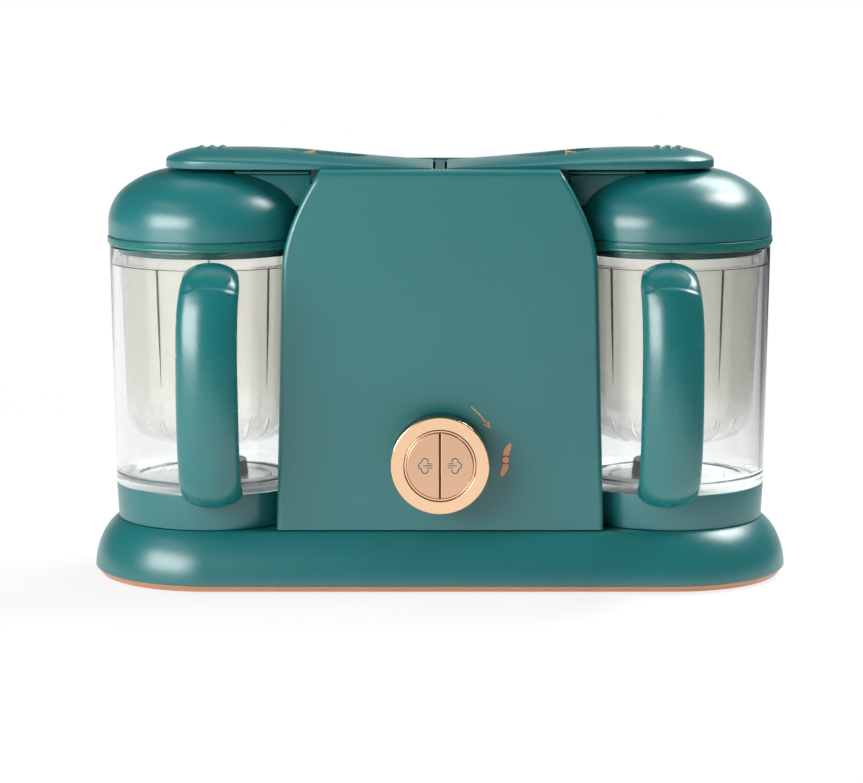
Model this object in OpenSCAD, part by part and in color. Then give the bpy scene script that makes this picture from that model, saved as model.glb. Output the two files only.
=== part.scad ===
// Twin-bowl baby food maker: two steam-and-blend bowls on a shared base,
// a central tower with the motor, boilers and controls, and two hinged locking arms.
// Millimetres, +Z up, front towards -Y. The origin is on the table, at the middle of the
// line between the two bowl axes. Left-hand pieces are modelled on the -X side and mirrored.

/* [Overall] */
// Distance between the two bowl axes
bowl_pitch = 263; // [262:1:285]
// Wall of the moulded shells
wall = 2.4; // [1.8:0.1:2.8]
// Facets round a full circle
smooth = 96; // [48:12:144]

/* [Base] */
// Widest radius of the base around each bowl axis
base_r = 68.4; // [67:0.2:74]
// Radius at which the flare meets the deck
deck_r = 55; // [54:0.5:57]
// Height of the deck above the table
deck_z = 33.5; // [32.5:0.5:40]
// Height of the rubber feet under the base plate
foot_h = 1; // [0.6:0.1:2]
// Radius of a rubber foot
foot_r = 9; // [6:0.5:10]
// Thickness of the coloured base plate
plate_t = 3.6; // [3:0.2:4.4]
// Shank diameter of the housing screws
screw_d = 3.8; // [3:0.2:4]

/* [Tower] */
// Full width of the front panel where it stands on the deck
panel_foot_w = 184; // [178:0.5:188]
// Inward lean of each panel side over its whole height
panel_lean = 5.6; // [4:0.2:8]
// How far the shoulder curls in at the top on each side
shoulder_curl = 19.8; // [14:0.2:21]
// Height of the curled shoulder
shoulder_h = 54; // [46:1:64]
// Thickness of the front and rear covers
cover_t = 4; // [3:0.2:4.6]
// Depth of the tower over both covers
tower_depth = 110; // [106:1:112]
// Gap between a bowl and the tower side
bowl_gap = 3; // [2:0.1:3.4]

/* [Bowls] */
// Height of a bowl from the deck to its rim
bowl_h = 157.2; // [150:0.5:170]
// Outer radius of the clear bowl at the rim
bowl_r = 57.5; // [56:0.1:57.6]
// Outer radius of the clear bowl at the skirt
bowl_foot_r = 55.6; // [55:0.1:56]
// Wall of the clear bowl below the basket ledge
bowl_wall = 2.6; // [2.2:0.1:3.2]
// Thickness of the clear floor
bowl_floor_t = 7; // [5:0.5:8]
// Height of the opaque skirt
skirt_h = 20.3; // [19:0.5:24]
// Turn that releases a bowl from its lugs
lug_turn = 30; // [24:1:32]

/* [Baskets] */
// Outer radius of the basket just above its rounded foot
basket_foot_r = 49; // [44:0.5:50]
// Radius of the rounded foot
basket_round = 18; // [12:0.5:22]
// Height of the basket
basket_h = 103; // [85:0.5:106]
// Wall of the basket
basket_wall = 1.6; // [1.2:0.1:2]
// Number of slots round the foot of the basket
basket_slots = 24; // [16:1:30]
// Height of the slots round the foot
basket_slot_h = 13; // [8:1:16]

/* [Handles] */
// Width of a handle
handle_w = 34; // [28:0.5:38]
// Reach of a handle in front of the bowl wall
handle_reach = 46; // [42:0.5:52]
// Thickness of the grip
handle_t = 18; // [14:0.5:20]
// Angle of the handles towards the middle
handle_turn = 2.7; // [0:0.1:8]

/* [Lids] */
// Height of a lid
lid_h = 43.2; // [40:0.2:48]
// How far a lid's band stands out past the bowl's rim
lid_over = 1.2; // [0.8:0.1:1.5]
// Height of the band round the lid's lower edge
band_h = 6.4; // [4:0.2:8]
// Width of the steam duct between lid and tower
duct_w = 48; // [36:1:52]
// Height of the steam duct
duct_h = 20; // [17:0.5:21]

/* [Arms] */
// Length of an arm from its outer end to the middle of the tower
arm_l = 155; // [152:0.5:160]
// Depth of an arm, front to back
arm_w = 75; // [70:0.5:78]
// Rise of the crown above the arm's flat underside
arm_rise = 10.4; // [9:0.2:13]
// Height of the front edge at the outer end
arm_edge = 4; // [3:0.1:5]
// Distance of each hinge axis from the middle
hinge_x = 7; // [6.8:0.1:8]
// Diameter of the hinge pins
pin_d = 3; // [2.4:0.1:3.4]

/* [Knob] */
// Outer diameter of the knob ring
knob_d = 55; // [52:0.5:58]
// Inner diameter of the knob ring
knob_bore = 40.2; // [39.6:0.2:42]
// How far the knob stands out of the panel
knob_out = 20; // [17:0.5:23]
// Height of the knob centre above the table
knob_z = 74.5; // [72:0.5:90]
// Diameter of the pair of half-moon buttons
button_d = 37; // [34:0.2:37.2]
// Travel of a button
button_travel = 2; // [1:0.1:2.2]

/* [Drive] */
// Diameter of the drive shafts
drive_d = 8; // [6:0.2:9]
// Pitch radius of the pulleys
pulley_r = 13; // [11:0.5:16]
// Diameter of the motor
motor_d = 44; // [36:0.5:46]
// Height of the motor can
motor_h = 58; // [44:1:62]
// Reach of a blade wing
blade_r = 38; // [30:0.5:46]

/* [Boilers] */
// Height of a boiler's tank
boiler_h = 94; // [70:1:96]
// Width of a boiler across the tower
boiler_w = 33; // [28:0.5:34]
// Length of a boiler, front to back
boiler_l = 73; // [60:0.5:80]

/* [Hidden] */
$fn = smooth;
eps = 0.01;
slip = 0.05;
gap = 0.3;

// levels, from the table up
bowl_x = bowl_pitch/2;
plate_top = foot_h + plate_t;
rim_z = deck_z + bowl_h;
lid_r = bowl_r + lid_over;
lid_z = rim_z + gap;
dome_z = lid_z + lid_h;
arm_gap = 1.2;
arm_z = dome_z + arm_gap;
tower_z = arm_z - 0.4;
panel_z = tower_z + 1;
skirt_z = deck_z + gap;
skirt_top = deck_z + skirt_h;
floor_z = skirt_top - 3.8;
well_z = floor_z + bowl_floor_t;

// base flare: a soft superellipse from the belt up to the deck
core_r = deck_r - 7;
belt_z = plate_top + 0.6;
flare_n = 1.7;
flare_b = (deck_z - belt_z)/pow(1 - pow((deck_r - core_r)/(base_r - core_r), flare_n), 1/flare_n);
function flare_r(z) =
    core_r + (base_r - core_r)*pow(1 - pow(max(0, z - belt_z)/flare_b, flare_n), 1/flare_n);
plate_inset = 1;
plate_taper = 2.4;

// tower outline: a leaning side with a shoulder that curls in
panel_y = tower_depth/2;
tower_y = panel_y - cover_t;
shoulder_z = panel_z - shoulder_h;
shoulder_steps = 9;
shoulder_power = 1.75;
function tower_w(z) =
    panel_foot_w/2 - panel_lean*(z - deck_z)/(panel_z - deck_z)
    - shoulder_curl*pow(max(0, z - shoulder_z)/shoulder_h, shoulder_power);
body_inset = 2;
bowl_clear = max(bowl_r, bowl_foot_r) + bowl_gap;
notch_x = bowl_x - bowl_clear - 0.7;
notch_w = duct_w + 6;
notch_h = duct_h + 8;
trough_x = 26;
trough_w = arm_w - 1;
trough_z = tower_z - 6;

// hinge
hinge_z = arm_z - 2;
knuckle_r = 2.6;
knuckle_l = 14;
hinge_y = arm_w/2 - 12;

// drive train
shaft_r = drive_d/2;
hub_r = shaft_r + 8;
bearing_r = shaft_r + 5.5;
bearing_z = deck_z - 9;
belt_w = 5;
belt_t = 1.6;
belt_z1 = plate_top + 5.4;
belt_z2 = belt_z1 + 7;
dog_z = deck_z + 4.6;
dog_h = 5;
dog_l = 14;
dog_t = 4;
dog_slack = 0.4;
socket_r = 10;
motor_z = deck_z + 8.5;
motor_shaft_r = 3;
// wiring hole through the deck behind the motor, and its distance from the tower side
wire_hole_r = 6;
wire_hole_in = 16;

// bowl and basket
skirt_seat_r = bowl_foot_r - 3.4;
ledge_z = rim_z - 10.2;
bush_r = shaft_r + 3;
basket_rim_t = 2;
basket_z = ledge_z - basket_h + basket_rim_t;
basket_top_r = bowl_r - 5.7;
basket_rim_r = bowl_r - 2.8;
mouth_r = bowl_r - 2.2;
plug_r = mouth_r - 1.9;

// boilers and their openings
boiler_x = notch_x - 4 - boiler_w/2 - 3.9;
boiler_wall = 1.2;
boiler_top = tower_z - 8;
boiler_z = boiler_top - boiler_h;
shelf_z = boiler_z - 8;
shelf_t = 3;
neck_r = 13;
neck_clear = 0.8;
tank_seal_h = 2;
port_drop = 14;
port_z = dome_z - port_drop;
port_r = 7;
duct_x = notch_x - 0.7 + 4.7;

// colours
teal = [0.20, 0.43, 0.43];
teal_dark = [0.12, 0.34, 0.34];
copper = [0.80, 0.62, 0.48];
clear = [0.86, 0.87, 0.86, 0.35];
milk = [0.88, 0.86, 0.80, 0.7];
steel = [0.72, 0.73, 0.74];
rubber = [0.25, 0.25, 0.26];
dark = [0.16, 0.17, 0.18];

// ---- helpers ----
function arc_points(cx, cy, r, a0, a1, n) =
    [for (i = [0:n]) let (a = a0 + (a1 - a0)*i/n) [cx + r*cos(a), cy + r*sin(a)]];

module ring(r_out, r_in, h) {
    difference() {
        cylinder(h = h, r = r_out);
        translate([0, 0, -1]) cylinder(h = h + 2, r = r_in);
    }
}

// a profile (radius, height) run round a stadium whose end centres are pitch apart along X
module stadium(pitch) {
    for (side = [-1, 1])
        translate([side*pitch/2, 0, 0]) rotate([0, 0, -90*side])
            rotate_extrude(angle = 180) children();
    for (side = [0, 1])
        mirror([0, side, 0]) translate([-pitch/2, 0, 0]) rotate([90, 0, 90])
            linear_extrude(height = pitch) children();
}

module at_left() translate([-bowl_x, 0, 0]) children();
module right_hand() mirror([1, 0, 0]) children();

// local +Z points out of the panel, towards the front
module at_knob() translate([0, -panel_y, knob_z]) rotate([90, 0, 0]) children();

// stands a flat (x, z) outline up, from y0 back to y1
module upright(y0, y1) translate([0, y1, 0]) rotate([90, 0, 0]) linear_extrude(height = y1 - y0) children();

// closed skin over a list of rings with equal point counts
module loft(rings) {
    n = len(rings[0]);
    m = len(rings);
    sides = [for (i = [0:m - 2], j = [0:n - 1])
        [i*n + j, i*n + (j + 1)%n, (i + 1)*n + (j + 1)%n, (i + 1)*n + j]];
    caps = [[for (j = [0:n - 1]) n - 1 - j], [for (j = [0:n - 1]) (m - 1)*n + j]];
    polyhedron(points = [for (r = rings) each r], faces = concat(sides, caps), convexity = 6);
}

// Catmull-Rom point at parameter t in a list of points
function clamp_at(p, i) = p[max(0, min(len(p) - 1, i))];
function spline(p, t) =
    let (i = min(len(p) - 2, floor(t)), u = t - i,
         a = clamp_at(p, i - 1), b = p[i], c = p[i + 1], d = clamp_at(p, i + 2))
    0.5*(2*b + (c - a)*u + (2*a - 5*b + 4*c - d)*u*u + (3*b - a - 3*c + d)*u*u*u);

// ---- base ----
screw_x = 60;
screw_y = 47;
screw_end = bowl_x + 46;
screw_places = concat(
    [for (x = [-screw_x, screw_x], y = [-screw_y, screw_y]) [x, y]], [[-screw_end, 0], [screw_end, 0]]
);
foot_y = 50;
slot_w = 4;
slot_l = 52;
foot_places = concat([[0, 0]], [for (x = [-bowl_x, 0, bowl_x], y = [-foot_y, foot_y]) [x, y]]);
screw_head_r = screw_d/2 + 1.8;
screw_head_h = 1.6;
boss_r = screw_d/2 + 2.6;
screw_top = plate_top + 10;

module base_plate() {
    plate_r = base_r - plate_inset;
    color(copper) difference() {
        stadium(bowl_pitch)
            polygon([[0, foot_h], [plate_r - plate_taper, foot_h], [plate_r, plate_top], [0, plate_top]]);
        for (p = screw_places) translate([p[0], p[1], 0]) {
            cylinder(h = plate_top + 1, r = screw_d/2 + slip);
            cylinder(h = foot_h + screw_head_h, r = screw_head_r + slip);
        }
        for (side = [-1, 1], i = [0:2]) translate([side*(24 + 3*slot_w*i) - slot_w/2, -slot_l/2, 0])
            cube([slot_w, slot_l, plate_top + 1]);
    }
}

module rubber_feet() {
    color(rubber) for (p = foot_places) translate([p[0], p[1], 0]) cylinder(h = foot_h, r = foot_r);
}

module housing_screws() {
    color(steel) for (p = screw_places) translate([p[0], p[1], foot_h]) difference() {
        union() {
            cylinder(h = screw_head_h, r = screw_head_r);
            cylinder(h = screw_top - foot_h - 1, r = screw_d/2);
        }
        translate([-0.6, -2.4, -1]) cube([1.2, 4.8, 1.8]);
    }
}

module base_outside() {
    steps = 8;
    stadium(bowl_pitch) polygon(concat(
        [[0, plate_top], [base_r - 0.5, plate_top]],
        [for (i = [0:steps]) let (z = belt_z + (deck_z - belt_z)*i/steps) [flare_r(z), z]],
        [[0, deck_z]]
    ));
}

module base_inside() {
    steps = 3;
    top = deck_z - wall;
    stadium(bowl_pitch) polygon(concat(
        [[0, plate_top - 1], [base_r - 1.2*wall, plate_top - 1]],
        [for (i = [0:steps]) let (z = belt_z + (top - belt_z)*i/steps) [flare_r(z) - 1.2*wall, z]],
        [[0, top]]
    ));
}

lug_r0 = 42;
lug_r1 = 46;
lug_r2 = 49.4;
lug_a = 22;
lug_z = deck_z + 3.4;
lug_t = 1.8;
tab_t = 1.8;

module lugs(r0, r1, z, t, a0) {
    for (i = [0:2]) translate([0, 0, z]) rotate([0, 0, a0 + 120*i - lug_a/2])
        rotate_extrude(angle = lug_a) translate([r0, 0]) square([r1 - r0, t]);
}

module base_housing() {
    color(teal) difference() {
        union() {
            difference() {
                base_outside();
                base_inside();
            }
            for (p = screw_places) translate([p[0], p[1], plate_top])
                cylinder(h = deck_z - 1 - plate_top, r = boss_r);
            for (side = [-1, 1]) translate([side*bowl_x, 0, 0]) {
                translate([0, 0, bearing_z]) cylinder(h = deck_z - 1 - bearing_z, r = hub_r);
                translate([0, 0, deck_z - 1]) ring(lug_r1, lug_r0, lug_z + lug_t - deck_z + 1);
                lugs(lug_r1 - 0.5, lug_r2, lug_z, lug_t, 90);
            }
        }
        for (p = screw_places) translate([p[0], p[1], plate_top - 1])
            cylinder(h = screw_top - plate_top + 1, r = screw_d/2 + slip);
        for (side = [-1, 1]) translate([side*bowl_x, 0, bearing_z - 1]) {
            cylinder(h = deck_z - bearing_z - 0.5, r = bearing_r);
            cylinder(h = deck_z - bearing_z + 2, r = shaft_r + 1.5);
        }
        translate([0, 0, deck_z - wall - 1]) cylinder(h = wall + 2, r = motor_shaft_r + wire_hole_r);
        translate([0, tower_y - wire_hole_in, deck_z - wall - 1]) cylinder(h = wall + 2, r = wire_hole_r);
    }
}

module drive_bearings() {
    color(steel) for (side = [-1, 1]) translate([side*bowl_x, 0, bearing_z])
        ring(bearing_r, shaft_r + slip, deck_z - bearing_z - 1.5);
}

// ---- tower ----
function tower_outline(inset, top) = concat(
    [for (side = [-1, 1]) [side*(tower_w(deck_z) - inset), deck_z - (inset > body_inset ? 1 : 0)]],
    [for (i = [0:shoulder_steps]) let (z = shoulder_z + (top - shoulder_z)*i/shoulder_steps)
        [tower_w(z) - inset, z]],
    [for (i = [shoulder_steps:-1:0]) let (z = shoulder_z + (top - shoulder_z)*i/shoulder_steps)
        [inset - tower_w(z), z]]
);

// the tower's inner space, grown or shrunk by a wall, as one solid
module tower_space(inset, y) {
    difference() {
        upright(-y, y) polygon(tower_outline(body_inset + inset, tower_z - inset));
        for (side = [-1, 1]) {
            translate([side*bowl_x, 0, 0]) cylinder(h = panel_z + 10, r = bowl_clear + inset);
            translate([side*(notch_x + 50 - inset), 0, tower_z - notch_h/2 + 10 - inset/2])
                cube([100, notch_w + 2*inset, notch_h + 20 + inset], center = true);
        }
        translate([0, 0, trough_z - inset + 50])
            cube([2*(trough_x + inset), trough_w + 2*inset, 100], center = true);
    }
}

// lip over each duct notch, which meets the end of the steam duct
lip_h = 7;
lip_in = 5.3;
lip_out = 2.8;

module tower_body() {
    color(teal_dark) difference() {
        union() {
            tower_space(0, tower_y);
            for (side = [-1, 1]) translate([side*(notch_x + (lip_out - lip_in)/2), 0, tower_z - lip_h/2 - 0.2])
                cube([lip_in + lip_out, duct_w - 2, lip_h], center = true);
        }
        difference() {
            tower_space(wall, tower_y + 1);
            for (side = [-1, 1]) translate([side*notch_x - 6, -tower_y, shelf_z - 6]) cube([12, 2*tower_y, 6]);
        }
        for (side = [-1, 1]) {
            translate([side*boiler_x, 0, boiler_top]) cylinder(h = 40, r = neck_r + neck_clear);
            translate([side*notch_x, 0, port_z]) rotate([0, 90, 0])
                cylinder(h = 20, r = port_r, center = true);
        }
    }
}

module front_panel() {
    color(teal) {
        difference() {
            upright(-panel_y, -tower_y) polygon(tower_outline(0, panel_z));
            at_knob() {
                for (side = [-1, 1]) translate([side*stem_x, 0, -cover_t - 1])
                    cylinder(h = cover_t + 2, r = stem_r + 0.5);
                translate([0, 0, -cover_t - 1]) rotate([0, 0, cam_slot_a0])
                    rotate_extrude(angle = cam_slot_a1 - cam_slot_a0)
                        translate([cam_r - cam_pin_r - gap, 0]) square([2*(cam_pin_r + gap), cover_t + 2]);
            }
        }
        at_knob() for (x = [-post_x, post_x], y = [-post_y, post_y])
            translate([x, y, board_t0 + board_t]) cylinder(h = -cover_t - board_t0 - board_t, r = 2.5);
    }
}

vent_count = 11;
gland_x = 58;
gland_z = deck_z + 14;
gland_r = 7;

module rear_cover() {
    color(teal) difference() {
        upright(tower_y, panel_y) polygon(tower_outline(0, panel_z));
        for (i = [0:vent_count - 1]) translate([-35, tower_y - 1, deck_z + 20 + 6*i])
            cube([70, cover_t + 2, 2.6]);
        translate([gland_x, tower_y - 1, gland_z]) rotate([-90, 0, 0])
            cylinder(h = cover_t + 2, r = gland_r);
    }
}

module cord_gland() {
    color(rubber) translate([gland_x, tower_y - 3, gland_z]) rotate([-90, 0, 0]) difference() {
        union() {
            cylinder(h = cover_t + 3 + 2, r = gland_r);
            cylinder(h = 3, r = gland_r + 2);
            translate([0, 0, cover_t + 3]) cylinder(h = 2, r = gland_r + 2);
        }
        translate([0, 0, 4]) cylinder(h = cover_t + 10, r = 3.4);
    }
}

// ---- hinge ----
hinge_rib = 2.7;
hinge_rib_rise = 0.7;

module hinge_block() {
    color(teal_dark) difference() {
        union() {
            translate([-trough_x, -trough_w/2, trough_z]) cube([2*trough_x, trough_w, 0.8]);
            translate([-hinge_rib, -arm_w/2 + 1, trough_z]) cube([2*hinge_rib, arm_w - 2, arm_z + hinge_rib_rise - trough_z]);
            for (side = [-1, 1]) {
                translate([side*hinge_x, 0, hinge_z]) rotate([90, 0, 0])
                    cylinder(h = 2*(hinge_y - knuckle_l - gap), r = knuckle_r - 0.2, center = true);
                translate([side*hinge_x - 2.4, -(hinge_y - knuckle_l - gap), trough_z])
                    cube([4.8, 2*(hinge_y - knuckle_l - gap), hinge_z - trough_z]);
            }
        }
        for (side = [-1, 1]) translate([side*hinge_x, 0, hinge_z]) rotate([90, 0, 0])
            cylinder(h = arm_w, r = pin_d/2, center = true);
    }
}

module hinge_pins() {
    color(steel) for (side = [-1, 1]) translate([side*hinge_x, 0, hinge_z]) rotate([90, 0, 0])
        cylinder(h = 2*hinge_y - 1, r = pin_d/2, center = true);
}

// ---- motor and belts ----
module motor_mount() {
    color(steel) {
        difference() {
            translate([-motor_d/2 - 6, -motor_d/2 - 6, motor_z - 2.5]) cube([motor_d + 12, motor_d + 12, 2.5]);
            translate([0, 0, motor_z - 3]) cylinder(h = 4, r = motor_shaft_r + 5);
        }
        for (x = [-1, 1], y = [-1, 1]) translate([x*(motor_d/2 + 1), y*(motor_d/2 + 1), deck_z])
            cylinder(h = motor_z - 2.5 - deck_z, r = 4);
    }
}

module motor_can() {
    color(steel) translate([0, 0, motor_z]) difference() {
        union() {
            cylinder(h = motor_h, r = motor_d/2);
            cylinder(h = motor_h + 4, r = 9);
        }
        translate([0, 0, -1]) cylinder(h = motor_h + 6, r = motor_shaft_r + slip);
    }
}

module motor_shaft() {
    color(steel) translate([0, 0, belt_z1 - 2]) cylinder(h = motor_z + motor_h + 6 - belt_z1, r = motor_shaft_r);
}

module pulley(bore, z0, z1) {
    translate([0, 0, z0]) difference() {
        cylinder(h = z1 - z0, r = pulley_r + 2);
        translate([0, 0, -1]) cylinder(h = z1 - z0 + 2, r = bore);
        for (z = [belt_z1, belt_z2]) translate([0, 0, z - z0 - 0.5])
            ring(pulley_r + 10, pulley_r, belt_w + 1);
    }
}

module motor_pulley() {
    color(dark) pulley(motor_shaft_r, belt_z1 - 1.5, belt_z2 + belt_w + 1.5);
}

module drive_belts() {
    color(dark) for (side = [-1, 1]) translate([side*bowl_x/2, 0, 0]) stadium(bowl_x)
        translate([pulley_r + slip, side < 0 ? belt_z1 : belt_z2]) square([belt_t, belt_w]);
}

module drive_pulley(z) {
    at_left() difference() {
        translate([0, 0, z - 1.5]) cylinder(h = belt_w + 3, r = pulley_r + 2);
        translate([0, 0, z - 2]) cylinder(h = belt_w + 4, r = shaft_r);
        translate([0, 0, z - 0.5]) ring(pulley_r + 10, pulley_r, belt_w + 1);
    }
}

module drive_shaft() {
    at_left() {
        translate([0, 0, belt_z1 - 2]) cylinder(h = dog_z - belt_z1 + 2, r = shaft_r);
        translate([0, 0, deck_z + 0.7]) cylinder(h = dog_z - deck_z - 0.7, r = socket_r - 0.5);
        for (a = [0, 90]) rotate([0, 0, a]) translate([-dog_l/2, -dog_t/2, dog_z]) cube([dog_l, dog_t, dog_h]);
    }
}

// ---- blades ----
socket_z = dog_z + 0.4;
hub_z = well_z + 0.5;
blade_z = hub_z + 10;
hub_foot_r = 20.2;
hub_top_r = 19.2;
hub_cap_r = 9;
blade_t = 1.8;

module blade_hub() {
    at_left() difference() {
        union() {
            translate([0, 0, socket_z]) cylinder(h = floor_z - 0.5 - socket_z, r = socket_r);
            translate([0, 0, floor_z - 1]) cylinder(h = hub_z - floor_z + 1, r = shaft_r);
            translate([0, 0, hub_z]) cylinder(h = blade_z - hub_z - 1.5, r1 = hub_foot_r, r2 = hub_top_r);
            translate([0, 0, blade_z - 1.6]) cylinder(h = 1.6, r = hub_cap_r);
            translate([0, 0, blade_z]) cylinder(h = 6, r = shaft_r);
        }
        for (a = [0, 90]) rotate([0, 0, a])
            translate([-dog_l/2 - dog_slack, -dog_t/2 - dog_slack, socket_z - 1])
                cube([dog_l + 2*dog_slack, dog_t + 2*dog_slack, dog_h + 1]);
    }
}

// one wing, wide at the hub and swept back towards its tip
module wing(reach) {
    polygon([[4, -7], [4, 7], [0.6*reach, 5.5], [reach, -1], [reach - 3, -6], [0.55*reach, -7.5]]);
}

module blade() {
    at_left() translate([0, 0, blade_z]) difference() {
        union() {
            cylinder(h = blade_t, r = 8.5);
            for (a = [90, 270]) rotate([0, 0, a]) linear_extrude(height = blade_t) wing(blade_r);
            translate([0, 0, blade_t]) cylinder(h = 1.4, r = 7);
        }
        translate([0, 0, -1]) cylinder(h = 8, r = shaft_r);
    }
}

// ---- bowls ----
module bowl() {
    r_floor = bowl_foot_r - bowl_wall;
    r_ledge = mouth_r - 1.2;
    at_left() rotate_extrude() polygon([
        [bush_r, floor_z], [skirt_seat_r, floor_z], [skirt_seat_r, skirt_top],
        [bowl_foot_r, skirt_top], [bowl_r, rim_z - 10], [bowl_r, rim_z],
        [mouth_r, rim_z], [mouth_r, ledge_z], [r_ledge, ledge_z],
        [r_floor, well_z + 4], [r_floor - 4, well_z], [bush_r, well_z]
    ]);
}

module bowl_bush() {
    at_left() translate([0, 0, floor_z]) ring(bush_r, shaft_r + slip, bowl_floor_t);
}

module bowl_skirt() {
    at_left() {
        difference() {
            translate([0, 0, skirt_z]) cylinder(h = skirt_top - skirt_z, r1 = bowl_foot_r - 1, r2 = bowl_foot_r);
            translate([0, 0, skirt_z - 1]) cylinder(h = 100, r = skirt_seat_r);
        }
        lugs(lug_r1 + 0.6, skirt_seat_r + 0.8, lug_z - tab_t - 0.5, tab_t, 90);
        translate([0, 0, floor_z - 2]) ring(skirt_seat_r + 0.8, skirt_seat_r - 5, 2);
    }
}

// ---- baskets ----
function foot_arc(inset, a0, a1) =
    arc_points(basket_foot_r - basket_round, basket_z + basket_round, basket_round - inset, a0, a1, 6);

module basket() {
    at_left() difference() {
        rotate_extrude() polygon(concat(
            [[0, basket_z]], foot_arc(0, -90, 0),
            [
                [basket_top_r, ledge_z], [basket_rim_r, ledge_z], [basket_rim_r, ledge_z + basket_rim_t],
                [basket_top_r - basket_wall, ledge_z + basket_rim_t]
            ],
            foot_arc(basket_wall, 0, -90), [[0, basket_z + basket_wall]]
        ));
        for (i = [0:basket_slots - 1]) rotate([0, 0, 360*i/basket_slots])
            translate([basket_foot_r - basket_round + 2, -1.1, basket_z - 1]) cube([30, 2.2, basket_slot_h + 1]);
        for (i = [0:7]) rotate([0, 0, 45*i]) translate([10, -1.1, basket_z - 1]) cube([14, 2.2, 6]);
    }
}

// ---- handles: one sweep of a rounded section along a D-shaped path in the (reach, height) plane
handle_path = [
    [0, rim_z - 13], [0.28, rim_z - 11.5], [0.55, rim_z - 16.5], [0.74, rim_z - 31],
    [0.80, rim_z - 58], [0.79, rim_z - 85], [0.73, rim_z - 108],
    [0.58, skirt_top + 14], [0.32, skirt_top + 5], [0, skirt_top + 3]
];
handle_rings = 24;
handle_points = 18;

function round_section(w, t, n) = [for (i = [0:n - 1]) let (a = 360*i/n, e = 2/2.7)
    [sign(cos(a))*w*pow(abs(cos(a)), e), sign(sin(a))*t*pow(abs(sin(a)), e)]];

function handle_point(u) = let (p = spline(handle_path, u))
    [-(bowl_foot_r - 2) - p[0]*handle_reach, p[1]];

module handle() {
    last = len(handle_path) - 1;
    rings = [for (k = [0:handle_rings - 1]) let (
            u = last*k/(handle_rings - 1), p = handle_point(u), q = handle_point(min(last, u + 0.02)),
            o = handle_point(max(0, u - 0.02)), d = (q - o)/norm(q - o),
            flat = 0.78 + 0.22*sin(180*u/last),
            section = round_section(handle_w/2*(0.94 + 0.06*sin(180*u/last)), handle_t/2*flat, handle_points))
        [for (s = section) [s[0], p[0] - s[1]*d[1], p[1] + s[1]*d[0]]]];
    at_left() rotate([0, 0, handle_turn]) difference() {
        loft(rings);
        cylinder(h = skirt_top, r = bowl_foot_r);
        translate([0, 0, skirt_top - eps])
            cylinder(h = rim_z - 10 - skirt_top + eps, r1 = bowl_foot_r, r2 = bowl_r);
        translate([0, 0, rim_z - 10]) cylinder(h = 20, r = bowl_r);
    }
}

// ---- lids ----
crown_r = 50;
brow_r = 26;
brow_turn = 52;
dome_r = lid_r - 0.6;
brow_c = dome_r - brow_r;
brow_z = dome_z - crown_r + (crown_r - brow_r)*sin(brow_turn);

function dome_profile(inset, bottom) = concat(
    [[0, bottom], [dome_r - inset, bottom]],
    arc_points(brow_c, brow_z, brow_r - inset, 0, brow_turn, 8),
    arc_points(brow_c + (brow_r - crown_r)*cos(brow_turn), dome_z - crown_r, crown_r - inset, brow_turn + 3, 90, 6),
    [[0, dome_z - inset]]
);

duct_y = duct_w/2;
duct_z = dome_z - 0.4 - duct_h;

module lid() {
    at_left() difference() {
        union() {
            rotate_extrude() polygon(dome_profile(0, lid_z + band_h));
            translate([0, 0, lid_z]) cylinder(h = band_h - 0.6, r = lid_r);
            translate([0, 0, lid_z + band_h - 0.7]) cylinder(h = 0.8, r = dome_r - 0.7);
            translate([20, -duct_y, duct_z]) cube([bowl_x - duct_x - 20, duct_w, duct_h]);
        }
        rotate_extrude() polygon(dome_profile(wall, lid_z + wall));
        translate([0, 0, lid_z - 1]) cylinder(h = wall + 2, r = plug_r - 3);
        translate([20, -duct_y + wall, duct_z + wall])
            cube([bowl_x - duct_x - 20 - wall, duct_w - 2*wall, duct_h - 2*wall]);
        translate([40, 0, port_z]) rotate([0, 90, 0]) cylinder(h = 40, r = 4.5);
    }
}

module lid_seal() {
    at_left() translate([0, 0, lid_z - 4.5]) ring(plug_r, plug_r - 3, 4.5);
}

// ---- arms: a crowned shell with a flat underside, swept along X ----
arm_inner = 11.5;
arm_skin = 1.8;
arm_across = 12;
crest_path = [
    [0, 0.43], [0.038, 0.68], [0.108, 0.98], [0.274, 1], [0.459, 0.91], [0.637, 0.66], [0.854, 0.35], [0.968, 0.1]
];

// height of the crown at distance s from the outer end; the path gives shares of the length and rise
function crest_at(s) = let (
        u = s/arm_l, i = max([for (k = [0:len(crest_path) - 2]) if (u >= crest_path[k][0]) k]),
        a = crest_path[i], b = crest_path[i + 1])
    arm_rise*(a[1] + (b[1] - a[1])*(u - a[0])/(b[0] - a[0]));
function edge_at(s) = min(crest_at(s) - 0.4, arm_edge - (arm_edge - 1)*max(0, s - 30)/120);
function half_at(s) = let (round = 26, u = min(1, (s + 1.6)/round)) arm_w/2*pow(1 - pow(1 - u, 2.4), 1/2.4);

// cross-section at distance s from the outer end: up one edge, over the crown and down the other
function arm_ring(s, inset) = let (w = half_at(s) - inset, top = crest_at(s), edge = edge_at(s),
        low = inset > 0 ? -1 : 0)
    concat(
        [[s - arm_l, -w, arm_z + low]],
        [for (i = [0:arm_across]) let (a = 180*i/arm_across)
            [s - arm_l, -w*cos(a), arm_z + max(0.3, edge + (top - edge)*pow(sin(a), 1.2) - inset)]],
        [[s - arm_l, w, arm_z + low]]
    );

arm_shares = [0, 0.006, 0.019, 0.038, 0.07, 0.108, 0.153, 0.217, 0.274, 0.369, 0.459, 0.548, 0.637, 0.726, 0.854];
arm_stops = concat([for (u = arm_shares) u*arm_l], [arm_l - arm_inner]);
pocket_stops = [for (u = [0.051, 0.108, 0.166, 0.274, 0.459, 0.637, 0.854]) u*arm_l];

// three grip bars across the crown near the outer end
bump_r = 2.4;
bump_l = 20;
bump_rise = 1;
bump_shares = [0.132, 0.172, 0.21];

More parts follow.
